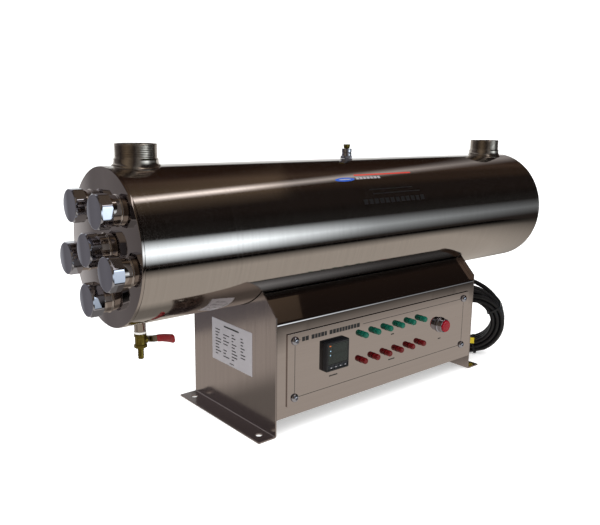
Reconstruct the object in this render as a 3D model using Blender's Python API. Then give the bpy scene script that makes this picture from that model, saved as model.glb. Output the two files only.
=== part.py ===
"""Six-lamp ultraviolet water clarifier: a polished steel chamber on a control box.

The origin is at the middle of the chamber's length, on the centre line, at floor level.
X runs along the chamber towards the outlet, Y points away from the control panel, Z is up.
"""
import math

import bmesh
import bpy
from mathutils import Matrix, Vector

# Driving dimensions, in metres.
CHAMBER_RADIUS = 0.1095
CHAMBER_WALL = 0.003
CHAMBER_LENGTH = 0.895
AXIS_HEIGHT = 0.2956
END_PLATE = 0.004
GAP = 0.0003
ROUND = 48

PORT_X = 0.3973
PORT_BORE = 0.025
PORT_COLLAR = 0.03015
PORT_THREAD = 0.0287
PORT_TOP = 0.1388

LAMP_CIRCLE = 0.0683
SOCKET_RADIUS = 0.020
SOCKET_LENGTH = 0.013
NOSE_RADIUS = 0.017
NOSE_LENGTH = 0.026
CAP_DEPTH = 0.030
CAP_FLATS = 0.045
SLEEVE_RADIUS = 0.0115
SLEEVE_WALL = 0.00125
LAMP_RADIUS = 0.0075
LAMP_LENGTH = 0.843

VENT_X = -0.0025
DRAIN_X = -0.401
VALVE_Z = -0.1395
LEVER_TILT = 14

PLATE_LEFT = -0.2442
PLATE_RIGHT = 0.2314
PLATE_THICK = 0.0025
PLATE_HALF = 0.114
SHOULDER = AXIS_HEIGHT - 0.1088
FOOT_LENGTH = 0.0305
FOOT_HOLE_Y = 0.093
FOOT_HOLE_OUT = 0.015
FOOT_HOLE_RADIUS = 0.00525
SADDLE_RADIUS = CHAMBER_RADIUS + 0.0008

COVER_FACE = 0.1142
COVER_THICK = 0.0015
COVER_BOTTOM = 0.0277
COVER_FOLD = AXIS_HEIGHT - 0.1188

PANEL_LEFT = -0.2235
PANEL_RIGHT = 0.2135
PANEL_BOTTOM = AXIS_HEIGHT - 0.251
PANEL_TOP = AXIS_HEIGHT - 0.137
PANEL_THICK = 0.002
PANEL_BACK = COVER_FACE + GAP
PANEL_FACE = PANEL_BACK + PANEL_THICK
SCREW_X = (-0.2096, 0.1983)
SCREW_Z = (AXIS_HEIGHT - 0.2389, AXIS_HEIGHT - 0.1488)
CONTROLLER_X = -0.1295
CONTROLLER_Z = AXIS_HEIGHT - 0.186
CONTROLLER_SIZE = 0.048
CONTROLLER_DEPTH = 0.0095
INDICATOR_X = -0.0682
INDICATOR_PITCH = 0.0292
INDICATOR_RADIUS = 0.0050
INDICATOR_REACH = 0.0120
GREEN_Z = AXIS_HEIGHT - 0.1655
RED_Z = AXIS_HEIGHT - 0.2094
BUTTON_X = 0.1324
BUTTON_Z = AXIS_HEIGHT - 0.1873
BUTTON_REACH = 0.0155
BUTTON_RADIUS = 0.0108

STUD_X = 0.150
STUD_Z = 0.060
GLAND_Y = 0.020
GLAND_Z = 0.1456
GLAND_LENGTH = 0.024
CORD_RADIUS = 0.0045
COIL_CENTRE = (0.3045, -0.0550, 0.0738)
COIL_INNER = 0.044
COIL_OUTER = 0.071
COIL_HEIGHT = 0.036
COIL_LEAN = 80
COIL_TURN = 33.4
CORD_ROUTE = (
    (PLATE_RIGHT + GAP + GLAND_LENGTH + GAP, GLAND_Y, GLAND_Z),
    (0.2750, 0.0198, 0.1460),
    (0.2941, 0.0100, 0.1480),
    (0.3123, -0.0139, 0.1504),
    (0.3250, -0.0439, 0.1488),
    (0.3341, -0.0700, 0.1385),
    (0.3368, -0.0785, 0.1325),
)
TAIL_ROUTE = (
    (0.2795, -0.0185, 0.0052),
    (0.2762, -0.0065, 0.0051),
    (0.2777, 0.0151, 0.0051),
    (0.2867, 0.0454, 0.0055),
    (0.3104, 0.0814, 0.0090),
    (0.3586, 0.0989, 0.0175),
    (0.3690, 0.0990, 0.0190),
    (0.3776, 0.0990, 0.0190),
)
PLUG_START = (0.3783, 0.0990, 0.0190)


def clear_scene():
    for thing in list(bpy.data.objects):
        bpy.data.objects.remove(thing, do_unlink=True)


def finish(name, colour, roughness, metallic):
    """A Principled material in one colour."""
    material = bpy.data.materials.new(name)
    material.use_nodes = True
    shader = material.node_tree.nodes["Principled BSDF"]
    shader.inputs["Base Color"].default_value = (*colour, 1.0)
    shader.inputs["Roughness"].default_value = roughness
    shader.inputs["Metallic"].default_value = metallic
    return material


clear_scene()
POLISHED = finish("polished_steel", (0.42, 0.38, 0.35), 0.12, 1.0)
BRUSHED = finish("brushed_steel", (0.36, 0.33, 0.31), 0.30, 1.0)
CHROME = finish("chrome", (0.62, 0.62, 0.63), 0.08, 1.0)
BRASS = finish("brass", (0.52, 0.38, 0.13), 0.30, 1.0)
QUARTZ = finish("quartz", (0.85, 0.88, 0.90), 0.03, 0.0)
LAMP = finish("lamp_glass", (0.88, 0.90, 0.94), 0.10, 0.0)
GALVANISED = finish("galvanised_steel", (0.45, 0.46, 0.47), 0.45, 1.0)
BLACK = finish("black_plastic", (0.015, 0.015, 0.016), 0.40, 0.0)
KEYS = finish("grey_keys", (0.20, 0.20, 0.21), 0.50, 0.0)
GREEN = finish("green_lens", (0.01, 0.26, 0.16), 0.15, 0.0)
RED = finish("red_lens", (0.35, 0.01, 0.02), 0.15, 0.0)
BUTTON = finish("red_button", (0.45, 0.01, 0.04), 0.20, 0.0)
VINYL = finish("red_vinyl", (0.30, 0.02, 0.02), 0.45, 0.0)
CABLE = finish("black_cable", (0.012, 0.012, 0.013), 0.45, 0.0)


def make_object(name, bm, material, location=(0, 0, 0), rotation=(0, 0, 0)):
    """Store a closed bmesh as a smooth object with its faces pointing out."""
    bmesh.ops.recalc_face_normals(bm, faces=bm.faces)
    mesh = bpy.data.meshes.new(name)
    bm.to_mesh(mesh)
    bm.free()
    mesh.shade_smooth()
    mesh.set_sharp_from_angle(angle=math.radians(30))
    thing = bpy.data.objects.new(name, mesh)
    bpy.context.scene.collection.objects.link(thing)
    thing.location = location
    thing.rotation_euler = rotation
    mesh.materials.append(material)
    return thing


def turned_mesh(outline, segments, phase=0.0, middle=(0, 0)):
    """Spin an outline of (radius, height) points about Z.

    An outline that starts and ends on the axis makes a solid, any other makes a ring.
    """
    bm = bmesh.new()
    points = [bm.verts.new((radius, 0, height)) for radius, height in outline]
    solid = outline[0][0] == 0 and outline[-1][0] == 0
    count = len(points)
    edges = [bm.edges.new((points[i], points[i + 1])) for i in range(count - 1)]
    if not solid:
        edges.append(bm.edges.new((points[-1], points[0])))
    bmesh.ops.spin(bm, geom=points + edges, cent=(0, 0, 0), axis=(0, 0, 1),
                   angle=2 * math.pi, steps=segments, use_merge=True)
    bmesh.ops.remove_doubles(bm, verts=bm.verts, dist=1e-6)
    turn = Matrix.Rotation(phase, 4, "Z")
    bmesh.ops.transform(bm, matrix=turn, verts=bm.verts)
    bmesh.ops.translate(bm, vec=(middle[0], middle[1], 0), verts=bm.verts)
    return bm


def turned(name, outline, segments, material, location=(0, 0, 0), rotation=(0, 0, 0), phase=0.0):
    return make_object(name, turned_mesh(outline, segments, phase), material, location, rotation)


def prism_mesh(outline, low, high, axis="Z"):
    """Extrude a flat outline from low to high along one axis."""
    places = {
        "X": lambda a, b: (low, a, b),
        "Y": lambda a, b: (a, low, b),
        "Z": lambda a, b: (a, b, low),
    }
    step = {"X": (1, 0, 0), "Y": (0, 1, 0), "Z": (0, 0, 1)}
    bm = bmesh.new()
    corners = [bm.verts.new(places[axis](a, b)) for a, b in outline]
    face = bm.faces.new(corners)
    result = bmesh.ops.extrude_face_region(bm, geom=[face])
    moved = [item for item in result["geom"] if isinstance(item, bmesh.types.BMVert)]
    bmesh.ops.translate(bm, vec=Vector(step[axis]) * (high - low), verts=moved)
    return bm


def prism(name, outline, low, high, axis, material, location=(0, 0, 0), rotation=(0, 0, 0)):
    return make_object(name, prism_mesh(outline, low, high, axis), material, location, rotation)


def rectangle(a0, a1, b0, b1):
    return [(a0, b0), (a1, b0), (a1, b1), (a0, b1)]


def gather(meshes):
    """Put several separate closed shapes into one bmesh, for one Boolean tool."""
    whole = bmesh.new()
    for part in meshes:
        bmesh.ops.recalc_face_normals(part, faces=part.faces)
        copy = bpy.data.meshes.new("gathered")
        part.to_mesh(copy)
        part.free()
        whole.from_mesh(copy)
        bpy.data.meshes.remove(copy)
    return whole


def tool(name, bm, location=(0, 0, 0), rotation=(0, 0, 0)):
    """A shape used only by a Boolean modifier."""
    thing = make_object(name, bm, BLACK, location, rotation)
    thing.hide_render = True
    thing.display_type = "WIRE"
    return thing


def boolean(target, shape, operation):
    step = target.modifiers.new(operation.lower(), "BOOLEAN")
    step.operation = operation
    step.solver = "EXACT"
    step.object = shape


def ribbon(points, half):
    """The outline of a strip of even thickness along a bent line."""
    left, right = [], []
    for i, point in enumerate(points):
        here = Vector(point)
        before = (here - Vector(points[i - 1])).normalized() if i else None
        after = (Vector(points[i + 1]) - here).normalized() if i < len(points) - 1 else None
        along = before or after
        if before and after:
            along = (before + after).normalized()
        across = Vector((-along.y, along.x))
        reach = half / max(0.3, across.dot(Vector((-(before or after).y, (before or after).x))))
        left.append(tuple(here + across * reach))
        right.append(tuple(here - across * reach))
    return left + right[::-1]


def bend(before, corner, after, radius, steps=4):
    """Points of a rounded bend at a corner."""
    start = Vector(corner) + (Vector(before) - Vector(corner)).normalized() * radius
    end = Vector(corner) + (Vector(after) - Vector(corner)).normalized() * radius
    line = []
    for i in range(steps + 1):
        t = i / steps
        line.append(tuple(start * (1 - t) ** 2 + Vector(corner) * 2 * t * (1 - t) + end * t * t))
    return line


def lamp_places():
    """One lamp on the centre line and five on a circle, as (y, z) from the axis."""
    places = [(0.0, 0.0)]
    for i in range(5):
        angle = math.radians(-90 + 72 * i)
        places.append((LAMP_CIRCLE * math.cos(angle), LAMP_CIRCLE * math.sin(angle)))
    return places


LAMPS = lamp_places()
HALF = CHAMBER_LENGTH / 2
AXIS = (0, 0, AXIS_HEIGHT)
ALONG_X = (0, math.pi / 2, 0)
ALONG_MINUS_X = (0, -math.pi / 2, 0)
ALONG_MINUS_Y = (math.pi / 2, 0, 0)
ALONG_Y = (-math.pi / 2, 0, 0)


def rod(radius, low, high, segments, middle=(0, 0)):
    outline = [(0, low), (radius, low), (radius, high), (0, high)]
    return turned_mesh(outline, segments, middle=middle)


# ---------------------------------------------------------------- chamber
def chamber_tube():
    inner = CHAMBER_RADIUS - CHAMBER_WALL
    reach = HALF - END_PLATE - GAP
    outline = [(inner, -reach), (CHAMBER_RADIUS, -reach), (CHAMBER_RADIUS, reach), (inner, reach)]
    tube = turned("chamber_tube", outline, ROUND, POLISHED, AXIS, ALONG_X)
    ports = [rod(PORT_BORE, 0.09, 0.13, 24, (x, 0)) for x in (-PORT_X, PORT_X)]
    vent = rod(0.003, 0.09, 0.13, 8, (VENT_X, 0))
    drain = rod(0.005, -0.13, -0.09, 12, (DRAIN_X, 0))
    boolean(tube, tool("port_holes", gather(ports + [vent, drain]), AXIS), "DIFFERENCE")


def end_plate(name, x, rotation):
    """A disc with six welded sockets, bored through for the quartz sleeves."""
    disc = [(0, -END_PLATE), (CHAMBER_RADIUS, -END_PLATE), (CHAMBER_RADIUS, 0), (0, 0)]
    plate = turned(name, disc, ROUND, POLISHED, (x, 0, AXIS_HEIGHT), rotation)
    sign = 1 if rotation == ALONG_X else -1
    outer, bores = [], []
    for y, z in LAMPS:
        spot = (-z * sign, y)
        socket = [(0, -0.001), (SOCKET_RADIUS, -0.001), (SOCKET_RADIUS, SOCKET_LENGTH),
                  (NOSE_RADIUS, SOCKET_LENGTH), (NOSE_RADIUS, NOSE_LENGTH), (0, NOSE_LENGTH)]
        outer.append(turned_mesh(socket, 20, middle=spot))
        hole = SLEEVE_RADIUS + GAP
        bore = [(0, -0.01), (hole, -0.01), (hole, NOSE_LENGTH - 0.005),
                (0.0152, NOSE_LENGTH - 0.005), (0.0152, 0.05), (0, 0.05)]
        bores.append(turned_mesh(bore, 16, middle=spot))
    boolean(plate, tool(name + "_sockets", gather(outer), (x, 0, AXIS_HEIGHT), rotation), "UNION")
    boolean(plate, tool(name + "_bores", gather(bores), (x, 0, AXIS_HEIGHT), rotation), "DIFFERENCE")


def port_nipple(name, x):
    """A threaded two-inch nipple whose foot is cut to the curve of the chamber."""
    outline = [(PORT_BORE, 0.099), (0.0345, 0.099), (0.0345, 0.106), (PORT_COLLAR, 0.1145),
               (PORT_COLLAR, 0.119), (PORT_THREAD, 0.119), (PORT_THREAD, PORT_TOP),
               (PORT_BORE, PORT_TOP)]
    nipple = turned(name, outline, 32, BRUSHED, (x, 0, AXIS_HEIGHT))
    saddle = rod(CHAMBER_RADIUS + GAP, x - 0.06, x + 0.06, ROUND)
    boolean(nipple, tool(name + "_saddle", saddle, AXIS, ALONG_X), "DIFFERENCE")


def vent():
    body = [(0.003, 0.1098), (0.0105, 0.1098), (0.0105, 0.1130), (0.0088, 0.1140),
            (0.0088, 0.1265), (0.003, 0.1265)]
    turned("vent_body", body, 16, CHROME, (VENT_X, 0, AXIS_HEIGHT))
    screw = [(0, 0.1180), (0.0026, 0.1180), (0.0026, 0.1268), (0.0048, 0.1268),
             (0.0054, 0.1300), (0.0058, 0.1338), (0, 0.1338)]
    turned("vent_screw", screw, 12, BRASS, (VENT_X, 0, AXIS_HEIGHT))


def lamp_end(name, number, y, z, x, rotation):
    """The octagonal cap that clamps one end of a sleeve."""
    corner = CAP_FLATS / 2 / math.cos(math.pi / 8)
    bore = (NOSE_RADIUS + 0.0004) / math.cos(math.pi / 8)
    inside = NOSE_LENGTH + GAP
    outline = [(0, inside), (bore, inside), (bore, SOCKET_LENGTH + GAP),
               (corner, SOCKET_LENGTH + GAP), (corner, CAP_DEPTH - 0.002),
               (corner - 0.0022, CAP_DEPTH), (0, CAP_DEPTH)]
    turned(f"{name}_cap_{number}", outline, 8, CHROME, (x, y, AXIS_HEIGHT + z), rotation,
           math.pi / 8)


def lamps():
    for i, (y, z) in enumerate(LAMPS):
        number = i + 1
        lamp_end("front", number, y, z, -HALF, ALONG_MINUS_X)
        lamp_end("rear", number, y, z, HALF, ALONG_X)
        reach = HALF + NOSE_LENGTH - 0.001
        bore = SLEEVE_RADIUS - SLEEVE_WALL
        sleeve = [(bore, -reach), (SLEEVE_RADIUS, -reach), (SLEEVE_RADIUS, reach), (bore, reach)]
        turned(f"quartz_sleeve_{number}", sleeve, 12, QUARTZ, (0, y, AXIS_HEIGHT + z), ALONG_X)
        end = LAMP_LENGTH / 2
        base = LAMP_RADIUS + 0.0006
        tube = [(0, -end), (base, -end), (base, -end + 0.022), (LAMP_RADIUS, -end + 0.022),
                (LAMP_RADIUS, end - 0.022), (base, end - 0.022), (base, end), (0, end)]
        turned(f"uv_lamp_{number}", tube, 12, LAMP, (0, y, AXIS_HEIGHT + z), ALONG_X)


def drain():
    nipple = [(0.005, -0.1284), (0.0083, -0.1284), (0.0083, -0.1099), (0.005, -0.1099)]
    turned("drain_nipple", nipple, 16, BRUSHED, (DRAIN_X, 0, AXIS_HEIGHT))
    ball_space = []
    for i in range(7):
        angle = math.radians(-66 + 21 * i)
        ball_space.append((0.0062 * math.cos(angle), VALVE_Z + 0.0062 * math.sin(angle)))
    body = [(0.0025, -0.1287), (0.0088, -0.1287), (0.0088, -0.1330), (0.0078, -0.1345),
            (0.0078, -0.1445), (0.0088, -0.1455), (0.0088, -0.1494), (0.0040, -0.1500),
            (0.0046, -0.1545), (0.0038, -0.1547), (0.0046, -0.1592), (0.0038, -0.1594),
            (0.0044, -0.1640), (0.0038, -0.1667), (0.0025, -0.1667)]
    valve = turned("drain_valve_body", body + ball_space, 16, BRASS, (DRAIN_X, 0, AXIS_HEIGHT))
    centre = (DRAIN_X, 0, AXIS_HEIGHT + VALVE_Z)
    boss = tool("stem_boss", rod(0.0046, 0.0066, 0.0102, 12), centre, ALONG_X)
    boolean(valve, boss, "UNION")
    boolean(valve, tool("stem_hole", rod(0.0023, 0.003, 0.02, 12), centre, ALONG_X), "DIFFERENCE")
    sphere = bmesh.new()
    bmesh.ops.create_uvsphere(sphere, u_segments=16, v_segments=8, radius=0.0057)
    ball = make_object("drain_ball", sphere, CHROME, centre)
    boolean(ball, tool("ball_bore", rod(0.0025, -0.01, 0.01, 12), centre, ALONG_Y), "DIFFERENCE")


def drain_handle():
    """A cranked strip on the valve's stem, with a vinyl grip over its end."""
    centre = (DRAIN_X, 0, AXIS_HEIGHT + VALVE_Z)
    tilt = (math.radians(-LEVER_TILT), 0, 0)
    line = [(0.0125, 0.0060), (0.0125, -0.0090), (0.0205, -0.0210), (0.0242, -0.0545)]
    lever = prism("drain_lever", ribbon(line, 0.00075), -0.005, 0.005, "Z", BRUSHED, centre, tilt)
    boolean(lever, tool("stem", rod(0.0019, 0.0060, 0.0128, 12), centre, ALONG_X), "UNION")
    boolean(lever, tool("stem_nut", rod(0.0040, 0.0120, 0.0165, 6), centre, ALONG_X), "UNION")
    start, end = Vector(line[2]), Vector(line[3])
    along = (end - start).normalized()
    grip = [tuple(start + along * 0.0020), tuple(end + along * 0.0040)]
    slot = [tuple(start - along * 0.0100), tuple(end + along * 0.0004)]
    sheath = prism("lever_grip", ribbon(grip, 0.0026), -0.0062, 0.0062, "Z", VINYL, centre, tilt)
    pocket = prism_mesh(ribbon(slot, 0.00110), -0.0054, 0.0054, "Z")
    boolean(sheath, tool("grip_pocket", pocket, centre, tilt), "DIFFERENCE")


# ---------------------------------------------------------------- control box
def side_plate(name, outer, outward, extra_hole):
    """An upright with a saddle for the chamber and a foot turned outwards."""
    corner = SHOULDER - AXIS_HEIGHT
    total = PLATE_HALF - corner
    square = PLATE_HALF ** 2 + corner ** 2 - SADDLE_RADIUS ** 2
    climb = (total - math.sqrt(total ** 2 - 2 * square)) / 2
    start = math.atan2(corner + climb, PLATE_HALF - climb)
    outline = [(-PLATE_HALF, 0), (PLATE_HALF, 0), (PLATE_HALF, SHOULDER)]
    for i in range(21):
        angle = start + (-math.pi - 2 * start) * i / 20
        outline.append((SADDLE_RADIUS * math.cos(angle),
                        AXIS_HEIGHT + SADDLE_RADIUS * math.sin(angle)))
    outline.append((-PLATE_HALF, SHOULDER))
    inner = outer - outward * PLATE_THICK
    plate = prism(name, outline, min(outer, inner), max(outer, inner), "X", BRUSHED)
    tip = outer + outward * FOOT_LENGTH
    foot = prism_mesh(rectangle(min(inner, tip), max(inner, tip), -PLATE_HALF, PLATE_HALF),
                      0, PLATE_THICK, "Z")
    boolean(plate, tool(name + "_foot", foot), "UNION")
    holes = [rod(FOOT_HOLE_RADIUS, -0.01, 0.01, 16, (outer + outward * FOOT_HOLE_OUT, y))
             for y in (-FOOT_HOLE_Y, FOOT_HOLE_Y)]
    boolean(plate, tool(name + "_foot_holes", gather(holes)), "DIFFERENCE")
    if extra_hole:
        hole = rod(0.0066, -0.02, 0.02, 16)
        boolean(plate, tool(name + "_gland_hole", hole, (outer, GLAND_Y, GLAND_Z), ALONG_X),
                "DIFFERENCE")


def cover(name, side, holes):
    """A folded cover: an upright face, a rounded bend and a slope up to the chamber."""
    half = COVER_THICK / 2
    face = COVER_FACE - half
    depth = AXIS_HEIGHT - COVER_FOLD + half * 0.4
    total = face + depth
    end = CHAMBER_RADIUS + 0.0010
    climb = (total - math.sqrt(total ** 2 - 2 * (face ** 2 + depth ** 2 - end ** 2))) / 2
    low = (face, COVER_BOTTOM)
    fold = (face, AXIS_HEIGHT - depth)
    top = (face - climb, AXIS_HEIGHT - depth + climb)
    line = [low] + bend(low, fold, top, 0.005) + [top]
    line = [(side * y, z) for y, z in line]
    left = PLATE_LEFT + PLATE_THICK + GAP
    right = PLATE_RIGHT - PLATE_THICK - GAP
    panel = prism(name, ribbon(line, half), left, right, "X", BRUSHED)
    boolean(panel, tool(name + "_holes", gather(holes)), "DIFFERENCE")


def across_y(radius, x, z, low, high, segments):
    """A rod along Y, as a bmesh in world space."""
    bm = rod(radius, low, high, segments)
    bmesh.ops.transform(bm, matrix=Matrix.Rotation(-math.pi / 2, 4, "X"), verts=bm.verts)
    bmesh.ops.translate(bm, vec=(x, 0, z), verts=bm.verts)
    return bm


def window(size, x, z, low, high):
    outline = rectangle(x - size / 2, x + size / 2, z - size / 2, z + size / 2)
    return prism_mesh(outline, low, high, "Y")


def indicator_places():
    return [INDICATOR_X + INDICATOR_PITCH * i for i in range(6)]


def panel_holes(low, high, lamps_too):
    holes = [across_y(0.0024, x, z, low, high, 8) for x in SCREW_X for z in SCREW_Z]
    holes.append(window(0.0454, CONTROLLER_X, CONTROLLER_Z, low, high))
    holes.append(across_y(0.0112, BUTTON_X, BUTTON_Z, low, high, 20))
    if lamps_too:
        for x in indicator_places():
            holes.append(across_y(0.0052, x, GREEN_Z, low, high, 12))
            holes.append(across_y(0.0052, x, RED_Z, low, high, 12))
    else:
        for z in (GREEN_Z, RED_Z):
            slot = rectangle(-0.080, 0.090, z - 0.009, z + 0.009)
            holes.append(prism_mesh(slot, low, high, "Y"))
    return holes


def box_shell():
    side_plate("left_side_plate", PLATE_LEFT, -1, False)
    side_plate("right_side_plate", PLATE_RIGHT, 1, True)
    cover("front_cover", -1, panel_holes(-0.13, -0.10, False))
    cover("rear_cover", 1, [across_y(0.0035, STUD_X, STUD_Z, 0.10, 0.13, 12)])
    left = PLATE_LEFT + PLATE_THICK + GAP
    right = PLATE_RIGHT - PLATE_THICK - GAP
    line = [(-0.1116, 0.0420), (-0.1116, 0.0290), (0.1116, 0.0290), (0.1116, 0.0420)]
    prism("bottom_tray", ribbon(line, COVER_THICK / 2), left, right, "X", GALVANISED)


def ballast_bank():
    """Six ballast cans on one carrier plate inside the box."""
    carrier = prism("ballast_bank", rectangle(-0.215, 0.200, -0.085, 0.085), 0.0302, 0.0322,
                    "Z", GALVANISED)
    cans = []
    for i in range(6):
        x = -0.210 + 0.068 * i
        cans.append(prism_mesh(rectangle(x, x + 0.052, -0.075, 0.075), 0.0310, 0.0680, "Z"))
    boolean(carrier, tool("ballast_cans", gather(cans)), "UNION")


def control_panel():
    outline = rectangle(PANEL_LEFT, PANEL_RIGHT, PANEL_BOTTOM, PANEL_TOP)
    panel = prism("control_panel", outline, -PANEL_FACE, -PANEL_BACK, "Y", POLISHED)
    boolean(panel, tool("panel_holes", gather(panel_holes(-0.13, -0.10, True))), "DIFFERENCE")
    number = 1
    for x in SCREW_X:
        for z in SCREW_Z:
            screw = [(0, -0.0065), (0.0020, -0.0065), (0.0020, GAP), (0.0066, GAP),
                     (0.0065, 0.0018), (0.0052, 0.0038), (0.0028, 0.0050), (0, 0.0053)]
            turned(f"panel_screw_{number}", screw, 12, CHROME, (x, -PANEL_FACE, z), ALONG_MINUS_Y)
            number += 1


def controller():
    """A panel instrument: square bezel, rear housing and a rubber key strip."""
    half = CONTROLLER_SIZE / 2
    face = PANEL_FACE + CONTROLLER_DEPTH
    centre = (CONTROLLER_X, 0, CONTROLLER_Z)
    case = prism("controller_case", rectangle(-half, half, -half, half), -face,
                 -PANEL_FACE - GAP, "Y", BLACK, centre)
    rear = prism_mesh(rectangle(-0.0224, 0.0224, -0.0224, 0.0224), -PANEL_FACE - 0.002,
                      -PANEL_FACE + 0.060, "Y")
    boolean(case, tool("controller_housing", rear, centre), "UNION")
    pocket = prism_mesh(rectangle(-0.0205, 0.0205, -0.0205, -0.0145), -face - 0.002,
                        -face + 0.0026, "Y")
    boolean(case, tool("key_pocket", pocket, centre), "DIFFERENCE")
    strip = prism("controller_keypad", rectangle(-0.0201, 0.0201, -0.0201, -0.0149),
                  -face + 0.0010, -face + 0.0018, "Y", KEYS, centre)
    keys = [prism_mesh(rectangle(x - 0.0034, x + 0.0034, -0.0191, -0.0159), -face - 0.0006,
                       -face + 0.0014, "Y") for x in (-0.0150, -0.0050, 0.0050, 0.0150)]
    boolean(strip, tool("keys", gather(keys), centre), "UNION")


def indicator_row(name, z, material):
    """Six lenses on one printed board, reaching out through the panel."""
    back = COVER_FACE - 0.0030
    board = prism(name, rectangle(-0.0765, 0.0860, z - 0.007, z + 0.007), -back, -back + 0.0016,
                  "Y", material)
    lenses = []
    tip = -PANEL_FACE - INDICATOR_REACH
    for x in indicator_places():
        outline = [(0, -back + 0.0008), (INDICATOR_RADIUS, -back + 0.0008),
                   (INDICATOR_RADIUS, tip + 0.0022), (INDICATOR_RADIUS * 0.72, tip + 0.0006),
                   (0, tip)]
        bm = turned_mesh(outline, 12)
        bmesh.ops.transform(bm, matrix=Matrix.Rotation(-math.pi / 2, 4, "X"), verts=bm.verts)
        bmesh.ops.translate(bm, vec=(x, 0, z), verts=bm.verts)
        lenses.append(bm)
    boolean(board, tool(name + "_lenses", gather(lenses)), "UNION")


def power_button():
    centre = (BUTTON_X, -PANEL_FACE, BUTTON_Z)
    bezel = [(0.00995, -0.018), (0.01095, -0.018), (0.01095, GAP), (0.0140, GAP),
             (0.0140, 0.0030), (0.0128, 0.0110), (0.0122, 0.0118), (0.0112, 0.0118),
             (0.0112, 0.0040), (0.00995, 0.0040)]
    turned("power_button_bezel", bezel, 20, CHROME, centre, ALONG_MINUS_Y)
    cap = [(0, -0.012), (0.0090, -0.012), (0.0090, 0.0075), (BUTTON_RADIUS, 0.0075),
           (BUTTON_RADIUS, 0.0140), (0.0098, 0.0150), (0.0060, BUTTON_REACH), (0, BUTTON_REACH)]
    turned("power_button", cap, 20, BUTTON, centre, ALONG_MINUS_Y)


def earth_stud():
    """A grounding stud through the rear cover, with its head inside and its nut outside."""
    inside = COVER_FACE - COVER_THICK - GAP
    outside = COVER_FACE + GAP
    outline = [(0, inside - 0.004), (0.0055, inside - 0.004), (0.0055, inside),
               (0.0031, inside), (0.0031, outside), (0.0070, outside),
               (0.0070, outside + 0.0012), (0.0055, outside + 0.0012),
               (0.0055, outside + 0.0060), (0.0030, outside + 0.0060),
               (0.0030, PANEL_FACE + BUTTON_REACH - 0.0023), (0, PANEL_FACE + BUTTON_REACH - 0.0023)]
    turned("earth_stud", outline, 12, BRASS, (STUD_X, 0, STUD_Z), ALONG_Y)


# ---------------------------------------------------------------- mains cord
def cable_gland():
    bore = CORD_RADIUS + 0.0004
    outline = [(bore, -0.0085), (0.0062, -0.0085), (0.0062, -0.0073), (0.0095, -0.0073),
               (0.0095, -PLATE_THICK - GAP), (0.0062, -PLATE_THICK - GAP), (0.0062, GAP),
               (0.0110, GAP), (0.0110, 0.0060), (0.0098, 0.0070), (0.0098, 0.0175),
               (0.0078, 0.0225), (0.0060, GLAND_LENGTH), (bore, GLAND_LENGTH)]
    turned("cable_gland", outline, 16, BLACK, (PLATE_RIGHT, GLAND_Y, GLAND_Z), ALONG_X)


def smooth_route(points, spacing):
    """Evenly spaced points on a smooth curve through the route."""
    knots = [Vector(point) for point in points]
    knots = [knots[0] * 2 - knots[1]] + knots + [knots[-1] * 2 - knots[-2]]
    fine = []
    for i in range(1, len(knots) - 2):
        a, b, c, d = knots[i - 1:i + 3]
        for step in range(12):
            t = step / 12
            fine.append(0.5 * (2 * b + (c - a) * t + (2 * a - 5 * b + 4 * c - d) * t ** 2
                               + (3 * b - a - 3 * c + d) * t ** 3))
    fine.append(knots[-2])
    lengths = [0.0]
    for i in range(1, len(fine)):
        lengths.append(lengths[-1] + (fine[i] - fine[i - 1]).length)
    count = max(3, round(lengths[-1] / spacing))
    line = []
    for k in range(count + 1):
        want = lengths[-1] * k / count
        i = max(1, next((n for n, value in enumerate(lengths) if value >= want - 1e-9)))
        share = (want - lengths[i - 1]) / (lengths[i] - lengths[i - 1])
        line.append(fine[i - 1].lerp(fine[i], share))
    return line


def cord_tube(name, route):
    curve = bpy.data.curves.new(name, "CURVE")
    curve.dimensions = "3D"
    curve.bevel_depth = CORD_RADIUS
    curve.bevel_resolution = 2
    curve.use_fill_caps = True
    spline = curve.splines.new("POLY")
    points = smooth_route(route, CORD_RADIUS * 4)
    spline.points.add(len(points) - 1)
    for slot, point in zip(spline.points, points):
        slot.co = (*point, 1.0)
    spline.use_smooth = True
    thing = bpy.data.objects.new(name, curve)
    curve.materials.append(CABLE)
    bpy.context.scene.collection.objects.link(thing)


def mains_coil():
    """The coiled cord as one ring, standing on its edge and leaning towards the box."""
    edge, half = 0.008, COIL_HEIGHT / 2
    outline = [(COIL_INNER, edge - half), (COIL_INNER + edge, -half), (COIL_OUTER - edge, -half),
               (COIL_OUTER, edge - half), (COIL_OUTER, half - edge), (COIL_OUTER - edge, half),
               (COIL_INNER + edge, half), (COIL_INNER, half - edge)]
    turned("mains_coil", outline, 24, CABLE, COIL_CENTRE,
           (0, math.radians(COIL_LEAN), math.radians(COIL_TURN)))


def mains_plug():
    """A moulded plug with a tapered strain relief and two round pins."""
    outline = [(0, 0), (0.0052, 0), (0.0075, 0.026), (0.0100, 0.030), (0.0170, 0.040),
               (0.0188, 0.048), (0.0188, 0.060), (0.0175, 0.063), (0, 0.063)]
    plug = turned("mains_plug", outline, 24, CABLE, PLUG_START, ALONG_X)
    pins = [rod(0.0024, 0.060, 0.082, 8, (0, y)) for y in (-0.0095, 0.0095)]
    boolean(plug, tool("plug_pins", gather(pins), PLUG_START, ALONG_X), "UNION")


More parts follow.
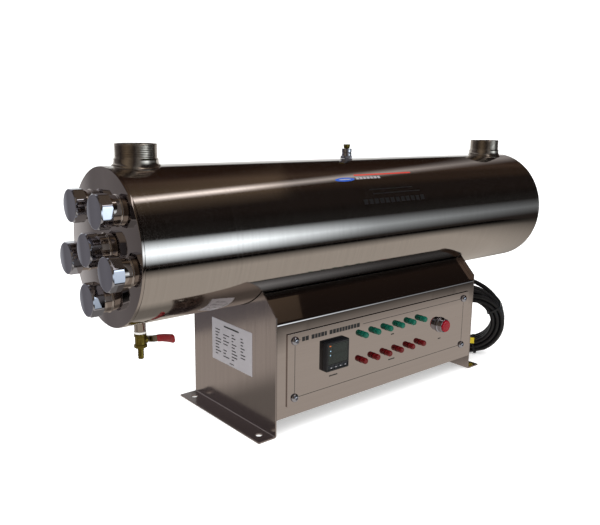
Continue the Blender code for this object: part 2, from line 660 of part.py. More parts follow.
chamber_tube()
end_plate("front_end_plate", -HALF, ALONG_MINUS_X)
end_plate("rear_end_plate", HALF, ALONG_X)
port_nipple("inlet_nipple", -PORT_X)
port_nipple("outlet_nipple", PORT_X)
vent()
lamps()
drain()
drain_handle()
box_shell()
ballast_bank()
control_panel()
controller()
indicator_row("green_indicator_row", GREEN_Z, GREEN)
indicator_row("red_indicator_row", RED_Z, RED)
power_button()
earth_stud()
cable_gland()
cord_tube("mains_cord", CORD_ROUTE)
mains_coil()
cord_tube("mains_cord_tail", TAIL_ROUTE)
mains_plug()
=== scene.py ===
# %% [markdown]
# # A six-lamp ultraviolet water clarifier
# The object is a polished steel tube, 219 mm across, that lies on a sloped control box.
# Water goes in and out through two threaded ports on top, and six lamps shine inside.
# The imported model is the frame: every piece below is built around it, in metres.

# %% Load the frame
import math

import bmesh
import bpy
import numpy as np
from mathutils import Matrix


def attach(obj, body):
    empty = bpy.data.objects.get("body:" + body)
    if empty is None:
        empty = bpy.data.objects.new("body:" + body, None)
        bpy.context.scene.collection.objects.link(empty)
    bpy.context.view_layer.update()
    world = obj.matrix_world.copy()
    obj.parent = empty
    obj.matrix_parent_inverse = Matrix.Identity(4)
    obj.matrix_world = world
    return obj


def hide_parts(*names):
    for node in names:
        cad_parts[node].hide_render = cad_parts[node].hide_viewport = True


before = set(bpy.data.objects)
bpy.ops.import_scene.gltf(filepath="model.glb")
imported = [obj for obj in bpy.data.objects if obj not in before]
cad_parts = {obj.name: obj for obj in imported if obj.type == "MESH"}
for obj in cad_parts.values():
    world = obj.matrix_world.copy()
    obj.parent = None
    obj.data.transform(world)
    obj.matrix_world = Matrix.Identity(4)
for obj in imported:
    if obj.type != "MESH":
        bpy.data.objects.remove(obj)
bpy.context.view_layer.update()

# %% [markdown]
# ## Sizes
# One short list of real sizes keeps the pieces in step with the frame. Heights on the
# chamber are measured from its centre line, which is 295.6 mm above the floor.

# %% Sizes of the object
AXIS = 0.2956
CHAMBER = 0.1095
HALF = 0.4475
PORTS = (-0.3973, 0.3973)
LAMP_CIRCLE = 0.0683
PLATE_LEFT, PLATE_RIGHT = -0.2442, 0.2314
PLATE_THICK = 0.0025
PLATE_HALF = 0.114
SHOULDER = AXIS - 0.1088
COVER_FACE = 0.1142
PANEL_FACE = COVER_FACE + 0.0023
PANEL = (-0.2235, 0.2135, AXIS - 0.251, AXIS - 0.137)
SCREW_X = (-0.2096, 0.1983)
SCREW_Z = (AXIS - 0.2389, AXIS - 0.1488)
CONTROLLER = (-0.1295, AXIS - 0.186)
CONTROLLER_FACE = PANEL_FACE + 0.0095
LENS_X = [-0.0682 + 0.0292 * i for i in range(6)]
GREEN_Z, RED_Z = AXIS - 0.1655, AXIS - 0.2094
BUTTON = (0.1324, AXIS - 0.1873)
DRAIN_X, VALVE_Z = -0.401, AXIS - 0.1395
VENT = (-0.0025, 0, AXIS)
GLAND = (PLATE_RIGHT, 0.020, 0.1456)
CORD = 0.009
print("chamber", round(2 * CHAMBER * 1000), "mm across,", round(2 * HALF * 1000), "mm long")

# %% [markdown]
# ## Camera
# The view is from the lamp end, a little above the centre line. A 40 mm lens stands
# about 1.3 m away, so the far end of the tube looks clearly smaller than the near one.

# %% Camera
camera = bpy.data.objects.new("camera", bpy.data.cameras.new("camera"))
camera.data.sensor_width = 36.0
camera.data.lens = 39.93
turn = Matrix.Rotation(math.radians(-39.97), 4, "Z")
tilt = Matrix.Rotation(math.radians(90 - 11.77), 4, "X")
roll = Matrix.Rotation(math.radians(0.74), 4, "Z")
camera.matrix_world = Matrix.Translation((-0.8118, -0.8438, 0.4628)) @ turn @ tilt @ roll
bpy.context.scene.collection.objects.link(camera)
bpy.context.scene.camera = camera
bpy.context.scene.view_settings.view_transform = "Standard"
print("camera at", [round(v, 3) for v in camera.location])

# %% [markdown]
# ## Surfaces from numbers
# Nearly every part here is turned, folded or drawn, so a piece is a grid of points: one
# direction runs round the part and the other along its profile. These helpers make the
# grids, join them in one mesh, close their seams and poles, and put them on a body.


# %% Grids of points
def quads(rows, columns, wrap_rows=False, wrap_columns=True):
    """Four corners of each cell of a grid, whose rows or columns may join up in a loop."""
    i = np.arange(rows if wrap_rows else rows - 1)[:, None]
    j = np.arange(columns if wrap_columns else columns - 1)[None, :]
    i2, j2 = (i + 1) % rows, (j + 1) % columns
    cells = [i * columns + j, i * columns + j2, i2 * columns + j2, i2 * columns + j]
    return np.stack(np.broadcast_arrays(*cells), -1).reshape(-1, 4)


FACING = {
    "Z": [[1, 0, 0], [0, 1, 0], [0, 0, 1]],
    "-Z": [[1, 0, 0], [0, -1, 0], [0, 0, -1]],
    "X": [[0, 0, 1], [1, 0, 0], [0, 1, 0]],
    "-X": [[0, 0, -1], [-1, 0, 0], [0, 1, 0]],
    "Y": [[-1, 0, 0], [0, 0, 1], [0, 1, 0]],
    "-Y": [[1, 0, 0], [0, 0, -1], [0, 1, 0]],
}


def facing(points, way, at):
    """Turn local points so that their Z looks along way, then move them to at."""
    return points @ np.array(FACING[way], float).T + np.array(at, float)


def around(profile, steps=64, at=(0, 0, 0), way="Z", ring=False, shape=None):
    """Turn a profile of (radius, height): x = r cos t, y = r sin t, z = height.

    shape(r, h, t) may change the radii and heights before they are turned.
    """
    r, h = np.array(profile, float).T
    t = np.arange(steps) * 2 * np.pi / steps
    r, h, t = np.broadcast_arrays(r[:, None], h[:, None], t[None, :])
    if shape:
        r, h = shape(r, h, t)
    local = np.stack([r * np.cos(t), r * np.sin(t), h], -1).reshape(-1, 3)
    return facing(local, way, at), quads(len(profile), steps, ring)


def flat_side(t, sides, across):
    """Distance from the centre to a polygon's side at angle t: across / 2 / cos(offset)."""
    half = np.pi / sides
    return across / 2 / np.cos((t + half) % (2 * half) - half)


def softened(line, radius=0.0004, steps=3):
    """Round each inner corner of a line of points with a short parabola."""
    line = [np.array(p, float) for p in line]
    out = [line[0]]
    for before, here, after in zip(line, line[1:], line[2:]):
        back, on = before - here, after - here
        reach = min(radius, 0.45 * np.linalg.norm(back), 0.45 * np.linalg.norm(on))
        a = here + back / np.linalg.norm(back) * reach
        b = here + on / np.linalg.norm(on) * reach
        for t in np.linspace(0, 1, steps + 1):
            out.append(a * (1 - t) ** 2 + here * 2 * t * (1 - t) + b * t * t)
    return np.array(out + [line[-1]])


def smooth_route(points, spacing):
    """Even steps along the Catmull-Rom curve through the points."""
    p = np.array(points, float)
    p = np.vstack([2 * p[0] - p[1], p, 2 * p[-1] - p[-2]])
    t = np.linspace(0, 1, 24, endpoint=False)[:, None]
    a, b, c, d = (p[i:len(p) - 3 + i][:, None, :] for i in range(4))
    fine = 0.5 * (2 * b + (c - a) * t + (2 * a - 5 * b + 4 * c - d) * t**2
                  + (3 * b - a - 3 * c + d) * t**3)
    fine = np.vstack([fine.reshape(-1, p.shape[1]), p[-2]])
    run = np.concatenate([[0], np.cumsum(np.linalg.norm(np.diff(fine, axis=0), axis=1))])
    want = np.linspace(0, run[-1], max(3, round(run[-1] / spacing)) + 1)
    return np.stack([np.interp(want, run, fine[:, k]) for k in range(p.shape[1])], 1)


print("a square grid of 3 by 4 points has", len(quads(3, 4)), "cells when it is a tube")


# %% Meshes and pieces
def piece(name, parts, material, body="unit", stands_for=(), sharp=32, fill=False):
    """Join (points, cells) grids in one mesh, close it, and ride it on a body."""
    starts = np.cumsum([0] + [len(points) for points, _ in parts])
    points = np.concatenate([points for points, _ in parts])
    cells = np.concatenate([cells + s for (_, cells), s in zip(parts, starts)])
    mesh = bpy.data.meshes.new(name)
    mesh.from_pydata(points.tolist(), [], cells.tolist())
    bm = bmesh.new()
    bm.from_mesh(mesh)
    bmesh.ops.remove_doubles(bm, verts=bm.verts, dist=2e-6)
    if fill:
        bmesh.ops.holes_fill(bm, edges=[e for e in bm.edges if e.is_boundary], sides=0)
    bmesh.ops.recalc_face_normals(bm, faces=bm.faces)
    bm.to_mesh(mesh)
    bm.free()
    made = bpy.data.objects.new(name, mesh)
    bpy.context.scene.collection.objects.link(made)
    mesh.materials.append(material)
    smooth(made, sharp)
    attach(made, body)
    if stands_for:
        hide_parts(*([stands_for] if isinstance(stands_for, str) else stands_for))
    return made


def smooth(made, sharp=32):
    """Shade smooth, with a sharp edge where two faces meet at more than sharp degrees."""
    made.data.shade_smooth()
    made.data.set_sharp_from_angle(angle=math.radians(sharp))


def carve(made, tools):
    """Cut closed (points, cells) solids out of a piece with an exact Boolean."""
    cutter = piece("cutter", tools, made.data.materials[0])
    step = made.modifiers.new("carve", "BOOLEAN")
    step.object, step.solver, step.operation = cutter, "EXACT", "DIFFERENCE"
    graph = bpy.context.evaluated_depsgraph_get()
    graph.update()
    cut = bpy.data.meshes.new_from_object(made.evaluated_get(graph))
    made.modifiers.clear()
    made.data = cut
    bpy.data.objects.remove(cutter, do_unlink=True)
    smooth(made)


def bevel(made, width=0.0003, segments=2):
    """A small machined or pressed edge, so that corners catch the light."""
    step = made.modifiers.new("edge", "BEVEL")
    step.width, step.segments, step.limit_method = width, segments, "ANGLE"
    step.angle_limit = math.radians(40)
    step.harden_normals = True


def block(x0, x1, y0, y1, z0, z1):
    """A closed box as a grid: four corners, four rows, with both ends pinched shut."""
    mid = np.array([(x0 + x1) / 2, (y0 + y1) / 2])
    corners = np.array([(x0, y0), (x1, y0), (x1, y1), (x0, y1)], float)
    rows = [(0, z0), (1, z0), (1, z1), (0, z1)]
    points = [np.c_[mid + (corners - mid) * k, np.full(4, z)] for k, z in rows]
    return np.concatenate(points), quads(4, 4)


def rod(radius, low, high, at, way, steps=48):
    return around([(0, low), (radius, low), (radius, high), (0, high)], steps, at, way)


print("helpers ready")

# %% [markdown]
# ## Materials
# Steel, chrome and brass are told apart by tint and by how they were finished. A mirror
# polish leaves only faint rings from the buffing wheel, a satin sheet keeps a straight
# grain. Each pattern is scaled from a real width in millimetres. Marks finer than about
# 0.3 mm would vanish at this distance, so those are drawn a little coarser.


# %% Colour and node helpers
def colour(code):
    """An sRGB hex value as linear RGBA."""
    value = np.array([int(code[i:i + 2], 16) / 255 for i in (0, 2, 4)])
    linear = np.where(value <= 0.04045, value / 12.92, ((value + 0.055) / 1.055) ** 2.4)
    return (*linear.tolist(), 1.0)


def add(tree, kind, inputs=None, **settings):
    """Add one node, set its properties, and fill or link its sockets."""
    node = tree.nodes.new(kind)
    for key, value in settings.items():
        setattr(node, key, value)
    for key, value in (inputs or {}).items():
        if isinstance(value, bpy.types.NodeSocket):
            tree.links.new(value, node.inputs[key])
        else:
            node.inputs[key].default_value = value
    return node


def start(name, code, metallic, roughness, **sockets):
    """A Principled material with one colour; returns it, its tree and its shader."""
    made = bpy.data.materials.new(name)
    made.use_nodes = True
    shader = made.node_tree.nodes["Principled BSDF"]
    values = {"Base Color": colour(code), "Metallic": metallic, "Roughness": roughness}
    values.update({key.replace("_", " "): value for key, value in sockets.items()})
    for key, value in values.items():
        shader.inputs[key].default_value = value
    return made, made.node_tree, shader


def worn(name, code, other, metallic, rough, grain, depth, **sockets):
    """A finish whose colour, roughness and height follow one stretched noise.

    grain is the number of marks per metre along X, Y and Z, or one number for all, and
    depth is their height in millimetres. A second noise, seven times wider, groups the
    fine marks as a polishing stroke does.
    """
    made, tree, shader = start(name, code, metallic, rough[0], **sockets)
    place = add(tree, "ShaderNodeTexCoord").outputs["Object"]
    scale = grain if isinstance(grain, tuple) else (grain,) * 3
    stretched = add(tree, "ShaderNodeMapping", {"Vector": place, "Scale": scale})
    fine = add(tree, "ShaderNodeTexNoise",
               {"Vector": stretched.outputs[0], "Scale": 1.0, "Detail": 3.0, "Roughness": 0.6})
    cloud = add(tree, "ShaderNodeTexNoise",
                {"Vector": stretched.outputs[0], "Scale": 0.15, "Detail": 2.0})
    both = add(tree, "ShaderNodeMath", {0: fine.outputs[0], 1: cloud.outputs[0]},
               operation="MULTIPLY")
    tint = add(tree, "ShaderNodeMix", {"Factor": both.outputs[0], "A": colour(code),
                                       "B": colour(other)}, data_type="RGBA")
    spread = add(tree, "ShaderNodeMapRange", {"Value": both.outputs[0], "From Min": 0.1,
                                              "From Max": 0.5, "To Min": rough[0],
                                              "To Max": rough[1]})
    height = add(tree, "ShaderNodeMath", {0: fine.outputs[0], 1: 0.2, 2: cloud.outputs[0]},
                 operation="MULTIPLY_ADD")
    raised = add(tree, "ShaderNodeBump", {"Height": height.outputs[0], "Strength": 0.5,
                                          "Distance": depth / 1000})
    tree.links.new(tint.outputs["Result"], shader.inputs["Base Color"])
    tree.links.new(spread.outputs[0], shader.inputs["Roughness"])
    tree.links.new(raised.outputs[0], shader.inputs["Normal"])
    return made


# %% Metals
# Buffed 304 stainless: the wheel runs round the tube, so the rings follow X only.
BUFFED = worn("buffed_304_stainless", "c4bdb8", "b3aba6", 1.0, (0.05, 0.13),
              (1900, 14, 14), 0.03)
# The same sheet on the flat end discs, buffed with crossing strokes.
DISC = worn("buffed_304_disc", "beb5b0", "aaa19c", 1.0, (0.05, 0.11), (300, 60, 60), 0.008)
# Sheet steel with a long straight grain along X, rolled and polished almost to a mirror.
SHEET = worn("polished_304_sheet", "c5bcb9", "bab0ad", 1.0, (0.02, 0.045), (7, 900, 900), 0.006)
# Uprights have the grain standing up and a duller polish.
UPRIGHT = worn("satin_304_upright", "b4aaa8", "a09592", 1.0, (0.14, 0.25), (900, 900, 9), 0.01)
# Turned steel nipple with fine tool rings.
TURNED = worn("turned_304_stainless", "b5aca2", "948a7e", 1.0, (0.12, 0.24), (20, 20, 1600), 0.01)
# Bright nickel and chrome plate is bluer than steel and almost a mirror.
CHROME = worn("nickel_chrome_plate", "bfc0ca", "b0b2bd", 1.0, (0.03, 0.09), 160, 0.002)
BRASS = worn("machined_brass", "8a7a3a", "4f4522", 1.0, (0.24, 0.46), (300, 300, 900), 0.01)
ZINC = worn("galvanised_sheet", "a9adb0", "8d9195", 1.0, (0.35, 0.5), 55, 0.008)
print("metals ready")

# %% Plastics, rubber and glass
# Moulded ABS and nylon are dark and slightly rough; cable rubber is a softer black.
ABS = worn("moulded_black_abs", "101216", "0b0d10", 0.0, (0.28, 0.42), 900, 0.01)
RUBBER = worn("black_cable_rubber", "0a0a0d", "101013", 0.0, (0.34, 0.5), 500, 0.02)
VINYL = worn("dipped_red_vinyl", "7d1218", "5c0c12", 0.0, (0.3, 0.45), 400, 0.03)
EPDM = worn("epdm_seal_rubber", "161616", "202020", 0.0, (0.5, 0.65), 300, 0.01)
KEYPAD = worn("silicone_key_rubber", "2a2d31", "222528", 0.0, (0.45, 0.6), 700, 0.01)
TAPE = worn("ptfe_thread_tape", "e8e6e0", "cfccc4", 0.0, (0.4, 0.6), (600, 600, 200), 0.08)
TAG = worn("yellow_card_tag", "e0c81e", "c4ac18", 0.0, (0.5, 0.65), 300, 0.01)
FOIL = worn("silver_label_foil", "aeabb0", "9c999e", 0.35, (0.3, 0.42), 500, 0.004)
INK = worn("black_print_ink", "0e0d0e", "161415", 0.0, (0.45, 0.6), 500, 0.002)
BLUE_FILM = worn("blue_vinyl_film", "2350a8", "1b4190", 0.0, (0.2, 0.3), 200, 0.002)
RED_FILM = worn("red_vinyl_film", "b83226", "9c2a20", 0.0, (0.2, 0.3), 200, 0.002)
GREEN_LENS = worn("green_acrylic_lens", "076451", "054c3d", 0.0, (0.08, 0.16), 300,
                  0.004, Transmission_Weight=0.35, IOR=1.49)
RED_LENS = worn("red_acrylic_lens", "66090f", "4e060b", 0.0, (0.08, 0.16), 300,
                0.004, Transmission_Weight=0.3, IOR=1.49)
BUTTON_LENS = worn("crimson_acrylic_button", "8c0a1e", "6e0818", 0.0, (0.1, 0.2),
                   200, 0.004, Transmission_Weight=0.2, IOR=1.49)
WINDOW = worn("smoked_window", "1b211f", "141816", 0.0, (0.06, 0.12), 100, 0.001)
DISPLAY = worn("dark_display_glass", "1a211f", "151b19", 0.0, (0.12, 0.2), 200, 0.001)
ORANGE = worn("orange_print", "c8641c", "b05614", 0.0, (0.4, 0.5), 500, 0.002)
BLUE_LED = worn("pale_blue_led", "9fc4dc", "8ab0ca", 0.0, (0.15, 0.25), 500, 0.002)
QUARTZ, _, _ = start("fused_quartz", "f4f7f8", 0.0, 0.02, Transmission_Weight=1.0, IOR=1.46)
LAMP_GLASS = worn("germicidal_lamp_glass", "e9edf2", "dfe4ea", 0.0, (0.08, 0.14),
                  60, 0.001, Transmission_Weight=0.4, IOR=1.5)
print("plastics and glass ready")

# %% [markdown]
# ## Mains cord
# A 9 mm rubber cord leaves the gland on the right upright and bends over into a coil that
# stands on its edge, as it is packed. It is one curve: the free stretch, then the turns,
# then the tail along the floor to the plug. The turns sit in a bundle three wide and four
# deep, and each one shifts to its next place over part of the circle.

# %% Cord route
COIL = np.array([0.3045, -0.0550, 0.0738])
LEAN, SWING = math.radians(80), math.radians(33.4)
ACROSS = np.array([math.sin(SWING), -math.cos(SWING), 0.0])
THROUGH = np.array([math.sin(LEAN) * math.cos(SWING), math.sin(LEAN) * math.sin(SWING),
                    math.cos(LEAN)])
UPWARD = np.cross(ACROSS, THROUGH)
FREE = [(0.2560, 0.0200, 0.1456), (0.2750, 0.0198, 0.1460), (0.2941, 0.0100, 0.1480),
        (0.3123, -0.0139, 0.1504), (0.3250, -0.0439, 0.1488), (0.3341, -0.0714, 0.1374)]
TAIL = [(0.2839, -0.0267, 0.0052), (0.2762, -0.0065, 0.0051), (0.2777, 0.0151, 0.0051),
        (0.2867, 0.0454, 0.0055), (0.3104, 0.0814, 0.0090), (0.3586, 0.0989, 0.0175),
        (0.3690, 0.0990, 0.0190), (0.3783, 0.0990, 0.0190)]
SEATS = [(1, 3), (0, 3), (-1, 3), (-1, 2), (0, 2), (1, 2), (1, 1), (0, 1), (-1, 1), (-1, 0),
         (0, 0), (1, 0)]
COIL_RADIUS = 0.0576
FIRST_ANGLE, LAST_ANGLE = math.radians(25), math.radians(-90 - 360 * 11)


def on_coil(angle, radius, through):
    """A point of the coil: its angle and radius in the coil's plane, and how far through it."""
    flat = np.cos(angle)[..., None] * ACROSS + np.sin(angle)[..., None] * UPWARD
    return COIL + radius[..., None] * flat + through[..., None] * THROUGH


def coil_turns():
    """Clockwise turns: radius and depth come from the seat, eased from one to the next."""
    angle = np.linspace(FIRST_ANGLE, LAST_ANGLE, 396)
    turn = (FIRST_ANGLE - angle) / (2 * np.pi)
    index = np.clip(np.floor(turn).astype(int), 0, len(SEATS) - 1)
    later = np.clip(index + 1, 0, len(SEATS) - 1)
    ease = np.clip((turn - index - 0.8) / 0.2, 0, 1)
    ease = ease * ease * (3 - 2 * ease)
    seats = np.array(SEATS, float)
    seat = seats[index] * (1 - ease[:, None]) + seats[later] * ease[:, None]
    sway = 0.0005 * np.sin(2 * angle + 0.6) + 0.0004 * np.sin(3 * angle)
    pitch = CORD * 1.004
    return on_coil(angle, COIL_RADIUS + seat[:, 0] * pitch + sway, (seat[:, 1] - 1.5) * pitch)


turns = coil_turns()
joined = on_coil(np.array([math.radians(41.4)]), np.array([0.0666]), np.array([0.0183]))
lead_in = smooth_route(FREE + [tuple(joined[0]), tuple(turns[0]), tuple(turns[3])], 0.008)
lead_out = smooth_route([tuple(turns[-4]), tuple(turns[-1])] + TAIL, 0.008)
cord_path = np.vstack([lead_in[:-1], turns[3:-4], lead_out])

# %% Cord curve
cord_curve = bpy.data.curves.new("mains_cord_run", "CURVE")
cord_curve.dimensions = "3D"
cord_curve.bevel_depth = CORD / 2
cord_curve.bevel_resolution = 4
cord_curve.use_fill_caps = True
spline = cord_curve.splines.new("POLY")
spline.points.add(len(cord_path) - 1)
spline.points.foreach_set("co", np.c_[cord_path, np.ones(len(cord_path))].ravel())
spline.use_smooth = True
cord = bpy.data.objects.new("mains_cord_run", cord_curve)
cord_curve.materials.append(RUBBER)
bpy.context.scene.collection.objects.link(cord)
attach(cord, "unit")
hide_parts("mains_cord", "mains_coil", "mains_cord_tail")
print("cord curve has", len(cord_path), "points")

# %% [markdown]
# ## Plug, tie and tag
# The plug is moulded on the cord: a ribbed taper keeps the cord from kinking, a waist
# gives grip, and two round pins stand out. Nylon ties hold the coil; one carries a tag.

# %% Plug
PLUG = (0.3783, 0.0990, 0.0190)
relief = [(0.0054 + 0.00017 * i + (0.0007 if i % 2 else 0.0), 0.0012 + 0.0020 * i)
          for i in range(13)]
body_line = [(0, 0), (0.0050, 0)] + relief + [(0.0100, 0.0285), (0.0128, 0.0330), (0.0155, 0.0375),
             (0.0172, 0.0410), (0.0188, 0.0460), (0.0188, 0.0605), (0.0172, 0.0630), (0, 0.0630)]


def plug_grip(r, h, t):
    """Press shallow finger flutes into the waist of the plug."""
    waist = np.clip(1 - np.abs(h - 0.041) / 0.008, 0, 1)
    return r * (1 - 0.035 * waist * (0.5 + 0.5 * np.cos(12 * t))), h


plug = piece("mains_plug_body", [around(softened(body_line), 96, PLUG, "X", shape=plug_grip)],
             RUBBER, stands_for="mains_plug")
pin_line = softened([(0, 0.061), (0.0024, 0.061), (0.0024, 0.0812), (0.0012, 0.0820), (0, 0.0820)])
pins = [around(pin_line, 32, (PLUG[0], PLUG[1] + s, PLUG[2]), "X") for s in (-0.0095, 0.0095)]
plug_pins = piece("mains_plug_pins", pins, CHROME)


# %% Cable tie and tag
def strap(angle, wide=0.0036, thick=0.0011):
    """A flat band round the coil's section: a rounded square loop, carried along the coil."""
    t = np.arange(48) * 2 * np.pi / 48
    c, s = np.cos(t), np.sin(t)
    reach = (np.abs(c / 0.0144) ** 6 + np.abs(s / 0.0190) ** 6) ** (-1 / 6)
    loops = []
    for side, extra in ((-1, 0), (1, 0), (1, thick), (-1, thick)):
        turned = np.full(48, angle + side * wide / 2 / COIL_RADIUS)
        loops.append(on_coil(turned, COIL_RADIUS + (reach + extra) * c, (reach + extra) * s))
    return np.concatenate(loops), quads(4, 48, wrap_rows=True)


def hanging_tag(angle, long=0.010, high=0.013, thick=0.0006):
    """A small card that hangs in the coil's eye, on the side that faces out."""
    at = on_coil(np.array([angle]), np.array([0.040]), np.array([-0.0200]))[0]
    loops = []
    for k, side in ((0, -1), (1, -1), (1, 1), (0, 1)):
        flat = [(-k * long / 2, -k * high / 2), (k * long / 2, -k * high / 2),
                (k * long / 2, k * high / 2), (-k * long / 2, k * high / 2)]
        loops.append([at + a * ACROSS + b * UPWARD + side * thick / 2 * THROUGH for a, b in flat])
    return np.array(loops).reshape(-1, 3), quads(4, 4)


ties = piece("coil_ties", [strap(math.radians(a)) for a in (32, 150, 284)], ABS)
tag = piece("coil_tag", [hanging_tag(math.radians(284))], TAG)
print("plug, ties and tag made")

# %% Cable gland
gland_line = [(0.0047, 0.0003), (0.0112, 0.0003), (0.0112, 0.0058), (0.0098, 0.0066),
              (0.0098, 0.0172), (0.0080, 0.0222), (0.0060, 0.0240), (0.0047, 0.0240)]


def gland_ribs(r, h, t):
    """A hexagon foot, then shallow ribs on the dome nut."""
    hexagon = flat_side(t, 6, 0.0196)
    ribs = 1 - 0.025 * (0.5 + 0.5 * np.cos(18 * t)) * (h > 0.0066) * (h < 0.0200)
    return np.where((h < 0.0062) & (r > 0.009), np.minimum(r, hexagon), r * ribs), h


gland_rows = softened(gland_line, 0.0006)
piece("cable_gland_nut", [around(gland_rows, 108, GLAND, "X", True, gland_ribs)], ABS,
      stands_for="cable_gland")

# %% [markdown]
# ## Chamber
# The tube is rolled from 3 mm sheet, welded and buffed until it mirrors the room. It is
# one turned ring. The ports, vent and drain are cut through it, as on the real one, so
# the sleeves can be seen through the open ports.

# %% Chamber tube
tube_end = HALF - 0.0041
along = np.linspace(-tube_end, tube_end, 61)
outside = np.stack([np.full(61, CHAMBER), along], 1)
inside = np.stack([np.full(61, CHAMBER - 0.003), -along], 1)
shell = around(np.vstack([outside, inside]), 192, (0, 0, AXIS), "X", True)
chamber = piece("chamber_shell", [shell], BUFFED, stands_for="chamber_tube")
holes = [rod(0.025, 0.09, 0.13, (x, 0, AXIS), "Z", 64) for x in PORTS]
holes.append(rod(0.003, 0.09, 0.13, VENT, "Z", 24))
holes.append(rod(0.005, 0.09, 0.13, (DRAIN_X, 0, AXIS), "-Z", 24))
carve(chamber, holes)
print("chamber faces:", len(chamber.data.polygons))

# %% [markdown]
# ## End discs and lamp sockets
# A 4 mm disc closes each end. Six sockets are welded on it, one in the middle and five in
# a ring. Each has a threaded nose with a rubber ring in its mouth that seals the quartz.


# %% End discs with sockets
def helix(low, high, pitch, depth, near):
    """Cut a thread: grooves follow height / pitch - turn and leave flat crests between."""
    def shape(r, h, t):
        wave = np.abs(((h / pitch - t / (2 * np.pi)) % 1.0) * 2 - 1)
        fade = np.clip(np.minimum(h - low, high - h) / pitch, 0, 1)
        groove = np.clip(1 - wave / 0.5, 0, 1)
        return r - depth * groove * fade * (np.abs(r - near) < 1e-6), h
    return shape


LAMPS = [(0.0, 0.0)] + [(LAMP_CIRCLE * math.cos(math.radians(-90 + 72 * i)),
                         LAMP_CIRCLE * math.sin(math.radians(-90 + 72 * i))) for i in range(5)]
nose = [(0.0170, h) for h in np.linspace(0.0136, 0.0254, 48)]
socket_line = np.vstack([
    softened([(0.0118, -0.003), (0.0216, -0.003), (0.0214, 0.0004), (0.0200, 0.0018),
              (0.0200, 0.0130), (0.0170, 0.0130)], 0.0007),
    nose, softened([(0.0170, 0.0258), (0.0165, 0.0260), (0.0152, 0.0260), (0.0152, 0.0210),
                    (0.0118, 0.0210)], 0.0003)])
socket_thread = helix(0.0136, 0.0254, 0.0015, 0.0006, 0.0170)
disc = CHAMBER - 0.0001
disc_line = softened([(0, -0.004), (disc, -0.004), (disc, 0), (0, 0)], 0.0006)
for label, x, way in (("front", -HALF, "-X"), ("rear", HALF, "X")):
    parts = [around(disc_line, 192, (x, 0, AXIS), way)]
    seals = []
    for y, z in LAMPS:
        parts.append(around(socket_line, 72, (x, y, AXIS + z), way, True, socket_thread))
        angle = np.linspace(0, 2 * np.pi, 17)[:-1]
        ring = np.stack([0.0134 + 0.0016 * np.cos(angle), 0.0238 + 0.0018 * np.sin(angle)], 1)
        seals.append(around(ring, 48, (x, y, AXIS + z), way, True))
    piece(f"{label}_end_disc", parts, DISC, stands_for=f"{label}_end_plate")
    piece(f"{label}_sleeve_seals", seals, EPDM)

# %% [markdown]
# ## Lamp caps
# Each cap is an octagonal nut, plated and polished. It is turned first, which gives the
# round chamfer, and its eight flats are milled after. So its radius at any angle is the
# smaller of the turned radius and the distance to the flat.

# %% Lamp caps
cap_line = softened([(0, 0.0263), (0.0174, 0.0263), (0.0174, 0.0133), (0.0232, 0.0133),
                     (0.0243, 0.0143), (0.0243, 0.0273), (0.0221, 0.0299), (0, 0.0300)], 0.0005, 4)


def eight_flats(r, h, t):
    """Clip the outside to an octagon 45 mm across flats, with slightly worn corners."""
    octagon = np.minimum(flat_side(t, 8, 0.045), 0.02415)
    return np.where(r > 0.019, np.minimum(r, octagon), r), h


for label, x, way in (("front", -HALF, "-X"), ("rear", HALF, "X")):
    for i, (y, z) in enumerate(LAMPS):
        piece(f"{label}_lamp_cap_{i + 1}", [around(cap_line, 128, (x, y, AXIS + z), way,
                                                   shape=eight_flats)],
              CHROME, f"{label}_cap_body_{i + 1}", f"{label}_cap_{i + 1}", 24)
print("12 lamp caps made")

# %% [markdown]
# ## Sleeves and lamps
# A quartz sleeve keeps the water off each lamp and lets the ultraviolet through. The lamp
# is a glass tube with a plated metal cap at each end.

# %% Sleeves and lamps
reach = HALF + 0.025
sleeve_line = [(0.01025, -reach), (0.0115, -reach), (0.0115, reach), (0.01025, reach)]
lamp_line = softened([(0, -0.4), (0.0075, -0.4), (0.0075, 0.4), (0, 0.4)], 0.002)
base_line = softened([(0, 0.3995), (0.0081, 0.3995), (0.0081, 0.4200), (0.0070, 0.4215),
                      (0, 0.4215)])
for i, (y, z) in enumerate(LAMPS):
    at = (0, y, AXIS + z)
    piece(f"sleeve_{i + 1}", [around(sleeve_line, 40, at, "X", True)], QUARTZ,
          stands_for=f"quartz_sleeve_{i + 1}")
    piece(f"lamp_tube_{i + 1}", [around(lamp_line, 40, at, "X")], LAMP_GLASS,
          stands_for=f"uv_lamp_{i + 1}")
    piece(f"lamp_bases_{i + 1}", [around(base_line, 40, at, "X"), around(base_line, 40, at, "-X")],
          ZINC)

# %% [markdown]
# ## Threaded ports
# A 2-inch nipple stands on each end of the tube. Its foot is cut to the curve of the
# chamber and welded all round, so the lowest rows follow the height of the chamber under
# them, and the higher rows are level. The thread has 11 turns to the inch.

# %% Threaded ports
thread_heights = np.linspace(0.1194, 0.1380, 120)
port_rows = ([(0.0334, 0.1078, 0), (0.0333, 0.1098, 0), (0.0329, 0.1108, 0), (0.0321, 0.1114, 0.02),
              (0.0312, 0.1122, 0.15), (0.0305, 0.1134, 0.5), (0.0302, 0.1148, 0.8),
              (0.03015, 0.1160, 1), (0.03015, 0.1184, 1), (0.0299, 0.1188, 1), (0.0288, 0.1190, 1)]
             + [(0.0287, h, 1) for h in thread_heights]
             + [(0.0281, 0.1388, 1), (0.0254, 0.1388, 1), (0.0250, 0.1384, 1), (0.0250, 0.1030, 1)])
port_rows = np.array(port_rows)


